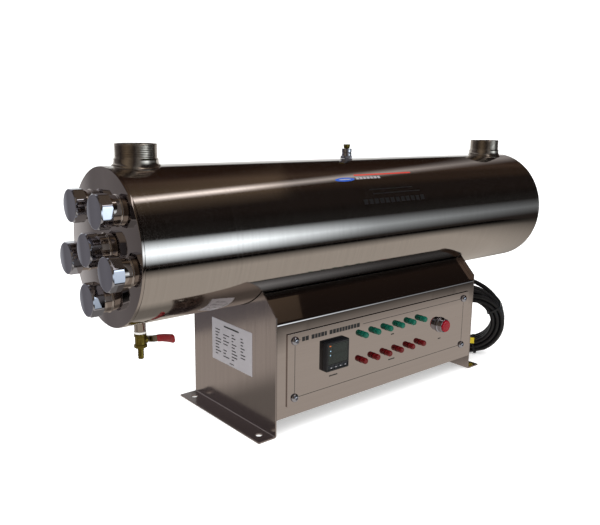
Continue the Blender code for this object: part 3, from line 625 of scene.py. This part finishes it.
def port_shape(r, h, t):
    """Blend each row from the chamber's curve, sqrt(R^2 - y^2), to a level ring."""
    level = port_rows[:, 2][:, None]
    curve = np.sqrt(CHAMBER**2 - (r * np.sin(t)) ** 2) + h - CHAMBER
    ripple = 0.00025 * np.abs(np.sin(30 * t)) * (level < 0.04) * (h > 0.1080)
    thread = helix(0.1194, 0.1380, 0.00231, 0.0007, 0.0287)(r, h, t)[0]
    return thread + ripple, h * level + curve * (1 - level)


for name, x in zip(("inlet", "outlet"), PORTS):
    piece(f"{name}_port", [around(port_rows[:, :2], 128, (x, 0, AXIS), "Z", True, port_shape)],
          TURNED, stands_for=f"{name}_nipple")
print("ports made")

# %% [markdown]
# ## Vent and drain
# Air leaves by a small brass screw on top. At the bottom a brass ball valve with a hose
# barb empties the tube. Its cranked lever has a dipped red grip and turns a quarter turn.


# %% Vent
def hexagon_between(low, high, flats):
    """Clip the rows between two heights to a hexagon."""
    def shape(r, h, t):
        side = flat_side(t, 6, flats)
        return np.where((h >= low) & (h <= high) & (r > flats * 0.35), np.minimum(r, side), r), h
    return shape


vent_line = softened([(0.003, 0.1098), (0.0108, 0.1098), (0.0108, 0.1134), (0.0088, 0.1142),
                      (0.0088, 0.1180), (0.0082, 0.1186), (0.0082, 0.1196), (0.0088, 0.1202),
                      (0.0088, 0.1265), (0.003, 0.1265)])
piece("vent_fitting", [around(vent_line, 72, VENT, "Z", True,
                              hexagon_between(0.1095, 0.1137, 0.0190))],
      CHROME, stands_for="vent_body")
knob_line = softened([(0, 0.1180), (0.0026, 0.1180), (0.0026, 0.1268), (0.0046, 0.1268),
                      (0.0052, 0.1285), (0.0055, 0.1310), (0.0058, 0.1334), (0.0050, 0.1338),
                      (0, 0.1336)], 0.0003)
knurl = lambda r, h, t: (r * (1 + 0.03 * np.cos(20 * t) * (h > 0.128) * (r > 0.004)), h)
piece("vent_knob", [around(knob_line, 120, VENT, "Z", shape=knurl)], BRASS,
      "vent_screw_body", "vent_screw")

# %% Drain valve
nipple_line = softened([(0.005, -0.1284), (0.0083, -0.1284), (0.0083, -0.1112), (0.0096, -0.1096),
                        (0.0096, -0.1085), (0.005, -0.1085)])
piece("drain_pipe", [around(nipple_line, 64, (DRAIN_X, 0, AXIS), "Z", True)], TURNED,
      stands_for="drain_nipple")
tape_line = [(0.0084, -0.1284), (0.0089, -0.1283), (0.0090, -0.1270), (0.0088, -0.1256),
             (0.0084, -0.1254)]
piece("drain_thread_tape", [around(tape_line, 64, (DRAIN_X, 0, AXIS), "Z", True)], TAPE)
barbs = [(0.0040, -0.1502), (0.0047, -0.1540), (0.0038, -0.1542), (0.0047, -0.1580),
         (0.0038, -0.1582), (0.0047, -0.1620), (0.0038, -0.1622), (0.0043, -0.1655),
         (0.0036, -0.1667), (0.0025, -0.1667)]
bowl = [(0.0062 * math.cos(math.radians(a)), -0.1395 + 0.0062 * math.sin(math.radians(a)))
        for a in range(-66, 67, 12)]
valve_line = [(0.0025, -0.1287), (0.0089, -0.1287), (0.0089, -0.1328), (0.0079, -0.1342),
              (0.0079, -0.1445), (0.0094, -0.1455), (0.0094, -0.1494)]
valve_rows = np.vstack([softened(valve_line + barbs, 0.0003), bowl])


def valve_flats(r, h, t):
    """Hexagons at both ends of the valve body."""
    top = hexagon_between(-0.1333, -0.1280, 0.0168)(r, h, t)[0]
    return hexagon_between(-0.1500, -0.1452, 0.0172)(top, h, t)


valve = [around(valve_rows, 96, (DRAIN_X, 0, AXIS), "Z", True, valve_flats)]
boss_line = softened([(0.0023, 0.0050), (0.0058, 0.0050), (0.0058, 0.0094), (0.0048, 0.0102),
                      (0.0023, 0.0102)], 0.0003)
valve.append(around(boss_line, 48, (DRAIN_X, 0, VALVE_Z), "X", True))
piece("drain_valve", valve, BRASS, stands_for="drain_valve_body")


# %% Drain lever and grip
def carried(path, half_wide, half_thick, power, taper=None):
    """Carry a rounded section along a flat path in X and Y; its width runs along Z.

    The section is |w / wide|^p + |n / thick|^p = 1, and taper scales it at each point.
    The far part sags a little, with the square of its distance.
    """
    path = np.array(path, float)
    ahead = np.gradient(path, axis=0)
    ahead /= np.linalg.norm(ahead, axis=1)[:, None]
    side = np.stack([-ahead[:, 1], ahead[:, 0]], 1)
    t = np.arange(32) * 2 * np.pi / 32
    c, s = np.cos(t), np.sin(t)
    reach = (np.abs(c / half_wide) ** power + np.abs(s / half_thick) ** power) ** (-1 / power)
    size = np.ones(len(path)) if taper is None else np.array(taper)
    wide = (reach * c)[None, :] * size[:, None]
    thick = (reach * s)[None, :] * size[:, None]
    flat = path[:, None, :] + side[:, None, :] * thick[..., None]
    points = np.concatenate([flat, wide[..., None]], -1).reshape(-1, 3)
    angle = math.radians(-14)
    y = points[:, 1] * math.cos(angle) - points[:, 2] * math.sin(angle)
    z = points[:, 1] * math.sin(angle) + points[:, 2] * math.cos(angle)
    z = z - 1.4 * np.clip(-y - 0.018, 0, 1) ** 2
    return np.stack([points[:, 0] + DRAIN_X, y, z + VALVE_Z], 1), quads(len(path), 32)


bent = smooth_route([(0.0132, 0.0060), (0.0132, -0.0070), (0.0150, -0.0125), (0.0195, -0.0185),
                     (0.0218, -0.0240), (0.0238, -0.0480)], 0.0012)
doubled = np.vstack([bent[:1], bent, bent[-1:]])
strip = carried(doubled, 0.0049, 0.00075, 10, np.concatenate([[0], np.ones(len(bent)), [0]]))
stem = around([(0, 0.0060), (0.0019, 0.0060), (0.0019, 0.0142), (0.0032, 0.0142), (0.0036, 0.0146),
               (0.0036, 0.0168), (0, 0.0170)], 36, (DRAIN_X, 0, VALVE_Z), "X",
              shape=hexagon_between(0.0140, 0.0172, 0.0066))
piece("drain_lever_strip", [strip, stem], TURNED, "drain_handle", "drain_lever")
hold = smooth_route([(0.0187, -0.0180), (0.0208, -0.0220), (0.0222, -0.0290),
                     (0.0236, -0.0400), (0.0240, -0.0500), (0.0236, -0.0583)], 0.0010)
along = np.linspace(0, 1, len(hold))
size = np.sqrt(np.clip(1 - (np.clip(along - 0.82, 0, 1) / 0.18) ** 2, 0, 1))
size = size * (0.84 + 0.16 * along)
hold = np.vstack([hold[:1], hold])
piece("drain_lever_grip", [carried(hold, 0.0064, 0.0027, 2.6, np.concatenate([[0], size]))],
      VINYL, "drain_handle", "lever_grip", 50)
print("vent and drain made")

# %% [markdown]
# ## Uprights and covers
# Two uprights carry the tube in a round saddle. Each is one sheet, 2.5 mm thick, with its
# foot folded outwards. The section runs along the foot, round the bend and up, and its top
# height depends on the distance from the middle: a 45 degree shoulder, then the saddle.

# %% Uprights
SADDLE = CHAMBER + 0.0008
shoulder_y = 0.08105


def plate_top(y):
    """Height of the plate's edge: shoulder line outside, saddle arc inside."""
    slope = SHOULDER + PLATE_HALF - np.abs(y)
    arc = AXIS - np.sqrt(np.maximum(SADDLE**2 - y**2, 0))
    return np.where(np.abs(y) > shoulder_y, slope, arc)


def upright(name, outer, out, node, extra):
    """A closed folded sheet: rows run up the outer side and down the inner side."""
    y = np.unique(np.concatenate([np.linspace(-PLATE_HALF, PLATE_HALF, 121),
                                  [-shoulder_y, shoulder_y]]))
    turn_in = np.linspace(0, np.pi / 2, 7)
    r_in, r_out, base = 0.0015, 0.0015 + PLATE_THICK, PLATE_THICK
    low_out = [(0.0305, base), (0.0170, base)]
    bend_out = [(r_in - r_in * np.sin(a), base + r_in - r_in * np.cos(a)) for a in turn_in]
    bend_in = [(r_in - r_out * np.sin(a), base + r_in - r_out * np.cos(a)) for a in turn_in[::-1]]
    rise = np.linspace(0, 1, 14)[1:]
    foot_z = base + r_in

    def row(across, height):
        return np.stack([np.full(len(y), across), y, np.broadcast_to(height, len(y))], 1)

    def risen(f):
        return foot_z + f * (plate_top(y) - foot_z)

    rows = [row(outer + out * a, z) for a, z in low_out + bend_out]
    rows += [row(outer, risen(f)) for f in rise]
    rows += [row(outer - out * PLATE_THICK, risen(f)) for f in rise[::-1]]
    rows += [row(outer + out * a, z) for a, z in bend_in + [(0.0170, 0.0), (0.0305, 0.0)]]
    grid = (np.concatenate(rows), quads(len(rows), len(y), True, False))
    made = piece(name, [grid], UPRIGHT, stands_for=node, fill=True)
    carve(made, [rod(0.00525, -0.01, 0.01, (outer + out * 0.015, h, 0), "Z", 32)
                 for h in (-0.093, 0.093)] + extra)
    bevel(made)
    return made


upright("left_upright", PLATE_LEFT, -1, "left_side_plate", [])
upright("right_upright", PLATE_RIGHT, 1, "right_side_plate",
        [rod(0.0066, -0.02, 0.02, GLAND, "X", 32)])


# %% Folded covers
def window(x, z, w, h, low=-0.135, high=-0.10):
    return block(x - w / 2, x + w / 2, low, high, z - h / 2, z + h / 2)


def front_holes(through_panel):
    """The openings behind and through the panel."""
    made = [rod(0.0024, 0.10, 0.135, (x, 0, z), "-Y", 24) for x in SCREW_X for z in SCREW_Z]
    made.append(window(CONTROLLER[0], CONTROLLER[1], 0.0454, 0.0454))
    made.append(rod(0.0112, 0.10, 0.135, (BUTTON[0], 0, BUTTON[1]), "-Y", 48))
    if through_panel:
        made += [rod(0.0053, 0.10, 0.135, (x, 0, z), "-Y", 32) for x in LENS_X
                 for z in (GREEN_Z, RED_Z)]
    else:
        made += [window(0.005, z, 0.170, 0.018) for z in (GREEN_Z, RED_Z)]
    return made


def folded_cover(name, side, node, tools):
    """An upright face, a 3 mm bend and a 45 degree slope that ends at the tube."""
    thick = 0.0015
    fold = AXIS - 0.1188
    start_at, end_at = np.array([COVER_FACE, 0.0277]), np.array([COVER_FACE, fold])
    rise = 0.03780
    top = end_at + np.array([-rise, rise])
    outer = softened([start_at, end_at, top], 0.003, 8)
    ahead = np.gradient(outer, axis=0)
    ahead /= np.linalg.norm(ahead, axis=1)[:, None]
    inner = outer + np.stack([-ahead[:, 1], ahead[:, 0]], 1) * thick
    section = np.vstack([outer, inner[::-1]])
    x = np.linspace(PLATE_LEFT + PLATE_THICK + 0.0002, PLATE_RIGHT - PLATE_THICK - 0.0002, 9)
    rows = [np.stack([x, np.full(9, side * y), np.full(9, z)], 1) for y, z in section]
    grid = (np.concatenate(rows), quads(len(rows), 9, True, False))
    made = piece(name, [grid], SHEET, stands_for=node, fill=True)
    carve(made, tools)
    bevel(made, 0.0002)


folded_cover("front_folded_cover", -1, "front_cover", front_holes(False))
STUD = (0.150, 0, 0.060)
folded_cover("rear_folded_cover", 1, "rear_cover", [rod(0.0035, 0.10, 0.135, STUD, "Y", 24)])
stud_line = softened([(0, 0.1080), (0.0055, 0.1080), (0.0055, 0.1124), (0.0031, 0.1124),
                      (0.0031, 0.1145), (0.0070, 0.1145), (0.0070, 0.1157), (0.0058, 0.1158),
                      (0.0058, 0.1205), (0.0031, 0.1206), (0.0030, 0.1288), (0, 0.1297)], 0.0003)
piece("earth_terminal", [around(stud_line, 72, STUD, "Y",
                                shape=hexagon_between(0.1156, 0.1207, 0.0100))],
      BRASS, stands_for="earth_stud")
for node, finish in (("bottom_tray", ZINC), ("ballast_bank", ZINC), ("drain_ball", CHROME)):
    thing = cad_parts[node]
    thing.data.materials.clear()
    thing.data.materials.append(finish)
print("uprights and covers made")

# %% [markdown]
# ## Control panel
# The panel is a 2 mm polished plate held by four domed screws. A fine line runs round
# it. Real panels carry words here; these are plain bars, so no lettering is copied.

# %% Panel plate, border and bars
panel = piece("panel_plate", [block(PANEL[0], PANEL[1], -PANEL_FACE, -COVER_FACE - 0.0003,
                                    PANEL[2], PANEL[3])],
              SHEET, stands_for="control_panel")
carve(panel, front_holes(True))
bevel(panel, 0.0003)


def bar(x0, x1, z0, z1, proud=0.00008):
    """A thin raised bar on the panel's face."""
    return block(x0, x1, -PANEL_FACE - proud, -PANEL_FACE + 0.0002, z0, z1)


line = 0.0004
left, right, low, high = SCREW_X[0], SCREW_X[1], SCREW_Z[0], SCREW_Z[1]
TITLE = (-0.1960, -0.0700)
border = [bar(left + 0.008, right - 0.008, low - line, low + line),
          bar(left + 0.008, TITLE[0] - 0.003, high - line, high + line),
          bar(TITLE[1] + 0.003, right - 0.008, high - line, high + line),
          bar(left - line, left + line, low + 0.008, high - 0.008),
          bar(right - line, right + line, low + 0.008, high - 0.008)]
piece("panel_border", border, INK)
marks = np.random.default_rng(7)
bars, x = [], TITLE[0]
for count in (2, 5, 10):
    for _ in range(count):
        wide = float(marks.uniform(0.0044, 0.0064))
        bars.append(bar(x, x + wide, high - 0.0034, high + 0.0034))
        x += wide + 0.0012
    x += 0.0045
for x, z, wide in ((CONTROLLER[0], PANEL[2] + 0.030, 0.020), (0.0050, GREEN_Z - 0.0145, 0.008),
                   (0.0050, RED_Z - 0.0150, 0.016), (BUTTON[0], BUTTON[1] - 0.0260, 0.008)):
    for k in range(int(wide / 0.0026)):
        a = x - wide / 2 + k * 0.0026
        bars.append(bar(a, a + 0.0021, z - 0.0011, z + 0.0011))
piece("panel_bars", bars, INK)

# %% Domed screws
dome_line = softened([(0, -0.0062), (0.0020, -0.0062), (0.0020, 0.0003), (0.0066, 0.0003),
                      (0.0066, 0.0014), (0.0060, 0.0028), (0.0047, 0.0042), (0.0032, 0.0050),
                      (0.0022, 0.0053), (0.0020, 0.0036), (0, 0.0036)], 0.0003)
spots = [(x, z) for x in SCREW_X for z in SCREW_Z]
for i, (x, z) in enumerate(spots):
    piece(f"panel_dome_screw_{i + 1}", [around(dome_line, 60, (x, -PANEL_FACE, z), "-Y")],
          CHROME, stands_for=f"panel_screw_{i + 1}")
print("panel made")


# %% [markdown]
# ## Instrument, lamps and button
# The panel instrument is a 48 mm square case with a smoked window, two displays and four
# rubber keys. Twelve small acrylic lamps tell which ultraviolet lamp burns, and a lit
# button switches the power.

# %% Panel instrument
def slab(x, z, w, h, corner, rows):
    """A rounded rectangle carried through rows of (inset, depth), pinched shut at the ends."""
    rows = [(None, rows[0][1])] + rows + [(None, rows[-1][1])]
    t = np.arange(64) * 2 * np.pi / 64
    c, s = np.cos(t), np.sin(t)
    cx, cz = np.sign(np.round(c, 9)) * (w / 2 - corner), np.sign(np.round(s, 9)) * (h / 2 - corner)
    points = []
    for inset, depth in rows:
        if inset is None:
            points.append(np.stack([np.full(64, x), np.full(64, -depth), np.full(64, z)], 1))
            continue
        radius = max(corner - inset, 0.00001)
        shrink = max(0.0, inset - corner)
        px = x + cx - np.sign(cx) * shrink + radius * c
        pz = z + cz - np.sign(cz) * shrink + radius * s
        points.append(np.stack([px, np.full(64, -depth), pz], 1))
    return np.concatenate(points), quads(len(rows), 64)


cx, cz = CONTROLLER
face = CONTROLLER_FACE
case_rows = [(0, PANEL_FACE + 0.0003), (0, face - 0.0020), (0.0006, face - 0.0006), (0.0014, face)]
housing_rows = [(0, 0.0570), (0, face - 0.004)]
case = piece("instrument_case", [slab(cx, cz, 0.048, 0.048, 0.0022, case_rows)], ABS,
             stands_for="controller_case")
carve(case, [block(cx - 0.0208, cx + 0.0208, -face - 0.002, -face + deep, cz + low, cz + high)
             for deep, low, high in ((0.0026, -0.0208, -0.0142), (0.0009, -0.0122, 0.0205))])
bevel(case, 0.0003)
piece("instrument_housing", [slab(cx, cz, 0.0448, 0.0448, 0.001, housing_rows)], ABS)
glass_rows = [(0, face - 0.0011), (0, face - 0.0004), (0.0002, face - 0.0002)]
piece("instrument_window", [slab(cx, cz + 0.00415, 0.0410, 0.0322, 0.0008, glass_rows)], WINDOW)
show_rows = [(0, face - 0.0004), (0, face), (0.0001, face + 0.0001)]
shows = [slab(cx + 0.0030, cz + z, 0.0300, 0.0098, 0.0006, show_rows) for z in (0.0130, -0.0005)]
piece("instrument_displays", shows, DISPLAY)
dots = [rod(0.0009, face - 0.0004, face + 0.0002, (cx - 0.0165, 0, cz + z), "-Y", 20)
        for z in (0.0100, 0.0030)]
piece("instrument_leds", dots, BLUE_LED)
corner = slab(cx - 0.0172, cz + 0.0180, 0.0034, 0.0016, 0.0003, show_rows)
piece("instrument_corner_mark", [corner], ORANGE)
mark_rows = [(0, face + 0.0004), (0, face + 0.0007)]
key_rows = [(0, face - 0.0014), (0, face + 0.0002), (0.0004, face + 0.0006)]
keys = [slab(cx + x, cz - 0.0175, 0.0066, 0.0032, 0.0009, key_rows)
        for x in (-0.0150, -0.0050, 0.0050, 0.0150)]
pad_rows = [(0, face - 0.0018), (0, face - 0.0011)]
keys.append(slab(cx, cz - 0.0175, 0.0401, 0.0051, 0.0006, pad_rows))
piece("instrument_keys", keys, KEYPAD, "keypad_body", "controller_keypad")
marks_on_keys = [slab(cx + x, cz - 0.0175, 0.0026, 0.0011, 0.0003, mark_rows)
                 for x in (-0.0150, -0.0050, 0.0050, 0.0150)]
piece("instrument_key_marks", marks_on_keys, FOIL, "keypad_body")

# %% Indicator lamps
lens_line = softened([(0, 0.1120), (0.0047, 0.1120), (0.0047, 0.1168), (0.0050, 0.1172),
                      (0.0050, 0.1206), (0.0046, 0.1210), (0.0046, 0.1216), (0.0050, 0.1220),
                      (0.0050, 0.1262), (0.0044, 0.1276), (0.0036, 0.1283), (0.0033, 0.1278),
                      (0.0020, 0.1284), (0, 0.1285)], 0.0003)


def lens_ribs(r, h, t):
    """Fine ribs round the barrel scatter the light sideways."""
    return r * (1 + 0.022 * np.cos(20 * t) * (h > 0.1172) * (h < 0.1262) * (r > 0.004)), h


for name, z, finish, node in (("green", GREEN_Z, GREEN_LENS, "green_indicator_row"),
                              ("red", RED_Z, RED_LENS, "red_indicator_row")):
    lenses = [around(lens_line, 80, (x, 0, z), "-Y", shape=lens_ribs) for x in LENS_X]
    lenses.append(block(-0.0765, 0.0860, -0.1112, -0.1098, z - 0.007, z + 0.007))
    piece(f"{name}_indicators", lenses, finish, stands_for=node)

# %% Power button
ring_line = [(0.00995, -0.0180), (0.01095, -0.0180), (0.01095, 0.0002), (0.0140, 0.0002),
             (0.0140, 0.0022), (0.0133, 0.0030), (0.0126, 0.0036), (0.0124, 0.0110),
             (0.0119, 0.0118), (0.0112, 0.0118), (0.0112, 0.0040), (0.00995, 0.0040)]
button_at = (BUTTON[0], -PANEL_FACE, BUTTON[1])
piece("power_bezel", [around(softened(ring_line), 96, button_at, "-Y", True)], CHROME,
      stands_for="power_button_bezel")
cap_rows = softened([(0, -0.0120), (0.0090, -0.0120), (0.0090, 0.0075), (0.0108, 0.0076),
                     (0.0108, 0.0138), (0.0100, 0.0150), (0.0084, 0.0154), (0.0080, 0.0149),
                     (0.0050, 0.0153), (0, 0.0154)], 0.0005)
piece("power_cap", [around(cap_rows, 96, button_at, "-Y")], BUTTON_LENS, "power_button_body",
      "power_button")
print("instrument, lamps and button made")

# %% [markdown]
# ## Labels
# A foil rating plate is stuck on the left upright, and a printed film on the chamber. Both
# keep only plain bars and shapes. The film follows the tube, so its points sit on a
# cylinder a hair wider than the chamber.

# %% Rating plate
plate_x = PLATE_LEFT - 0.00025
label = piece("rating_plate", [block(plate_x, PLATE_LEFT + 0.0002, -0.0556, 0.0568,
                                     AXIS - 0.2160, AXIS - 0.1455)], FOIL)
bars = []
for row in range(9):
    z = AXIS - 0.1625 - row * 0.0052
    for y0, y1 in ((0.047, 0.029), (0.024, 0.006), (0.000, -0.016), (-0.025, -0.041)):
        if marks.uniform() < 0.85:
            cut = float(marks.uniform(0.3, 1.0))
            bars.append(block(plate_x - 0.00006, plate_x + 0.0001, y0 - (y0 - y1) * cut, y0,
                              z - 0.0009, z + 0.0009))
bars.append(block(plate_x - 0.00006, plate_x + 0.0001, -0.020, 0.022, AXIS - 0.1548, AXIS - 0.1522))
bars.append(block(plate_x - 0.00006, plate_x + 0.0001, -0.006, 0.006, AXIS - 0.2125, AXIS - 0.2110))
piece("rating_bars", bars, INK)


# %% Film on the chamber
def film(x0, x1, a0, a1, oval=False, lift=0.00012):
    """A thin patch on the tube: x and angle span a rectangle or an oval."""
    u, v = np.meshgrid(np.linspace(-1, 1, 25), np.linspace(-1, 1, 13), indexing="ij")
    if oval:
        u, v = u * np.sqrt(1 - v**2 / 2), v * np.sqrt(1 - u**2 / 2)
    x = (x0 + x1) / 2 + u * (x1 - x0) / 2
    a = np.radians((a0 + a1) / 2 + v * (a1 - a0) / 2)
    layers = [np.stack([x, r * np.cos(a), AXIS + r * np.sin(a)], -1).reshape(-1, 3)
              for r in (CHAMBER + lift, CHAMBER - 0.0003)]
    cells = quads(25, 13, False, False)
    i = np.concatenate([np.arange(13), 13 * np.arange(1, 25) + 12, 24 * 13 + np.arange(11, -1, -1),
                        13 * np.arange(23, 0, -1)])
    j = np.roll(i, -1)
    rim = np.stack([i, j, j + 325, i + 325], 1)
    return np.concatenate(layers), np.concatenate([cells, cells + 325, rim])


piece("film_oval", [film(-0.0960, -0.0540, 130.0, 134.2, True)], BLUE_FILM)
piece("film_wave", [film(-0.0880, -0.0620, 131.6, 132.6, True, 0.0003)], FOIL)
piece("film_stripe", [film(-0.0495, 0.0875, 127.0, 128.6)], RED_FILM)
lines = [film(-0.0495 + k * 0.0082, -0.0432 + k * 0.0082, 130.2, 132.6) for k in range(7)]
piece("film_light_marks", lines, FOIL)
dark = [film(-0.0560 + k * 0.0125, -0.0470 + k * 0.0125, 152.5, 157.0) for k in range(12)]
dark += [film(-0.0300, 0.0850, 147.6, 148.6), film(-0.0350, 0.0700, 143.6, 144.4)]
piece("film_marks", dark, INK)
print("labels made")

# %% [markdown]
# ## Studio
# Polished steel shows mostly what is around it. The room is a pale sweep with a dark,
# warm wall, one long soft light in front and one overhead, so the tube gets its bands.
# The world works from direction only: the angle about the tube's line picks the band.

# %% Floor
def sheet(name, x0, x1, y0, y1, z, finish):
    """A flat rectangle that only lights or carries the object."""
    mesh = bpy.data.meshes.new(name)
    mesh.from_pydata([(x0, y0, z), (x1, y0, z), (x1, y1, z), (x0, y1, z)], [], [(0, 1, 2, 3)])
    mesh.materials.append(finish)
    made = bpy.data.objects.new(name, mesh)
    bpy.context.scene.collection.objects.link(made)
    return made


paper, _, _ = start("pale_paper", "fcfcfc", 0.0, 0.95, Emission_Color=(1, 1, 1, 1),
                    Emission_Strength=0.35)
floor = sheet("floor", -60, 60, -60, 60, 0, paper)
floor.visible_glossy = False
print("floor ready")

# %% Reflector card
# A grey card on the floor glows and is seen only in reflections. It fades towards the camera and
# far to the right, and carries a painted shadow: its glow is darker where the object itself would
# shade it.
def fade(tree, value, near, far, at_near, at_far):
    """A straight fade between two values, clamped outside."""
    return add(tree, "ShaderNodeMapRange", {"Value": value, "From Min": near, "From Max": far,
                                            "To Min": at_near, "To Max": at_far}).outputs[0]


def sums(tree):
    """A short way to write one math node in this tree."""
    def node(kind, a, b=0.0, c=0.0, clamp=False):
        return add(tree, "ShaderNodeMath", {0: a, 1: b, 2: c}, operation=kind,
                   use_clamp=clamp).outputs[0]
    return node


card_paint = bpy.data.materials.new("grey_card")
card_paint.use_nodes = True
tree = card_paint.node_tree
tree.nodes.clear()
spot_on = add(tree, "ShaderNodeTexCoord").outputs["Object"]
px, py, _ = add(tree, "ShaderNodeSeparateXYZ", {0: spot_on}).outputs
op = sums(tree)
# Painted shadow of the object on the card: dimmer near the middle line and under the box.
card_painted_shadow = fade(tree, op("ABSOLUTE", py), 0.05, 0.12, 0.42, 1.0)
shade = op("MAXIMUM", card_painted_shadow, fade(tree, px, 0.35, 0.50, 0.0, 1.0))
power = op("MULTIPLY", shade, fade(tree, py, -0.66, -0.42, 0.0, 1.0))
power = op("MULTIPLY", power, fade(tree, px, 0.65, 1.15, 1.0, 0.15))
glow = add(tree, "ShaderNodeEmission", {"Color": (0.52, 0.48, 0.43, 1), "Strength": power})
add(tree, "ShaderNodeOutputMaterial", {"Surface": glow.outputs[0]})
card = sheet("reflector_card", -1.2, 1.3, -0.74, 0.40, -0.0002, card_paint)
card.visible_camera = card.visible_diffuse = card.visible_shadow = False
print("card ready")

# %% World directions
world = bpy.data.worlds.new("studio")
bpy.context.scene.world = world
world.use_nodes = True
tree = world.node_tree
tree.nodes.clear()
way = add(tree, "ShaderNodeTexCoord").outputs["Generated"]
x, y, z = add(tree, "ShaderNodeSeparateXYZ", {0: way}).outputs
op = sums(tree)
seen = add(tree, "ShaderNodeLightPath").outputs


def ramp(factor, stops, whole=1.0):
    """A colour ramp; a stop is (place / whole, sRGB hex) or (place, plain number)."""
    made = add(tree, "ShaderNodeValToRGB", {"Fac": factor})
    ends = made.color_ramp.elements
    while len(ends) < len(stops):
        ends.new(0.5)
    for end, (place, value) in zip(ends, stops):
        end.position = place / whole
        end.color = colour(value) if isinstance(value, str) else (value, value, value, 1)
    return made.outputs[0]


def tinted(value, tint):
    """A plain number times a linear colour."""
    return add(tree, "ShaderNodeVectorMath", {0: value, 1: tint}, operation="MULTIPLY").outputs[0]


def joined_light(a, b):
    """Two lights added."""
    return add(tree, "ShaderNodeVectorMath", {0: a, 1: b}, operation="ADD").outputs[0]


BANDS = [(0, "d8dada"), (22, "cfd0cf"), (28, "1d1410"), (51, "251810"), (63, "2b1e18"),
         (76, "41332a"), (88, "2f241c"), (100, "2f241c"), (112, "1c1613"), (135, "1c1613"),
         (146, "15110f"), (160, "1e1d1c"), (203, "2a2624"), (268, "2a2624"), (285, "5f5954"),
         (330, "706c68"), (352, "dddddc")]
about = op("FRACT", op("ADD", op("DIVIDE", op("ARCTAN2", z, y), 2 * math.pi), 1.0))
base = ramp(about, BANDS, 360)
print("bands:", len(BANDS))

# %% Lights in the world
# The long strip in front is strongest halfway along and fades to the right; it is weaker
# after a second mirror, since the slope of the cover would see past its edge. The overhead
# tube runs crosswise, and the wall on the left has its own bands.
tent = op("SUBTRACT", 1.0, op("DIVIDE", op("ABSOLUTE", op("SUBTRACT", about, 183 / 360)), 18 / 360),
          clamp=True)
strip = op("MULTIPLY", tent, ramp(x, [(0, 0.3), (0.2, 0.5), (0.4, 1), (0.55, 1), (0.72, 0.22),
                                       (0.85, 0.08)]))
again = op("GREATER_THAN", seen["Glossy Depth"], 1.5)
strip = op("MULTIPLY", strip, op("MULTIPLY_ADD", again, -1.7, 2.2))
room = joined_light(base, tinted(strip, (0.85, 0.97, 1.05)))
off = op("SUBTRACT", op("SUBTRACT", op("MULTIPLY", x, 0.78), y), op("MULTIPLY", z, 0.66))
off = op("DIVIDE", op("ABSOLUTE", off), 1.43)
spot = op("POWER", op("SUBTRACT", 1.0, op("DIVIDE", off, 0.085), clamp=True), 1.5)
spot = op("MULTIPLY", spot, ramp(x, [(0, 1), (0.56, 1), (0.63, 0.36), (0.70, 0.34), (0.76, 0.22),
                                      (0.80, 0.16)]))
above = op("GREATER_THAN", z, 0.0)
spot = op("MULTIPLY", op("MULTIPLY", spot, 1.6), above)
room = joined_light(room, tinted(spot, (1.0, 0.95, 0.93)))
warm = op("MULTIPLY", op("SUBTRACT", 1.0, op("DIVIDE", off, 0.35), clamp=True),
          op("MULTIPLY", above, op("LESS_THAN", x, 0.62)))
room = joined_light(room, tinted(warm, (0.10, 0.075, 0.05)))
sideways = op("DIVIDE", op("ADD", op("ARCTAN2", y, op("MULTIPLY", x, -1.0)), math.pi / 2), math.pi,
              clamp=True)
WALL = [(-90, "898989"), (-55, "2a2422"), (-14, "7c7061"), (25, "2c2625"), (65, "706d6f"),
        (71, "686567"), (80, "c4c4c6"), (90, "d8d8d8")]
wall = ramp(sideways, [(degrees + 90, code) for degrees, code in WALL], 180)
side = op("MULTIPLY_ADD", x, 5.0, 0.6, clamp=True)
room = add(tree, "ShaderNodeMix", {"Factor": side, "A": wall, "B": room}, data_type="RGBA")
gloss = add(tree, "ShaderNodeBackground", {"Color": room.outputs["Result"], "Strength": 1.25})
white = add(tree, "ShaderNodeBackground", {"Color": (1, 1, 1, 1), "Strength": 1.3})
shiny = op("MAXIMUM", seen["Is Glossy Ray"], seen["Is Transmission Ray"])
mixed = add(tree, "ShaderNodeMixShader", {0: shiny, 1: white.outputs[0], 2: gloss.outputs[0]})
add(tree, "ShaderNodeOutputWorld", {"Surface": mixed.outputs[0]})
print("world ready")

# %% Soft key light
light = bpy.data.lights.new("softbox", "AREA")
light.shape, light.size, light.energy = "SQUARE", 1.6, 14.0
softbox = bpy.data.objects.new("softbox", light)
softbox.matrix_world = Matrix.Translation((-0.6, -1.1, 1.9)) @ Matrix.Rotation(
    math.radians(38), 4, "X") @ Matrix.Rotation(math.radians(-16), 4, "Y")
softbox.visible_glossy = False
bpy.context.scene.collection.objects.link(softbox)
print("light ready")
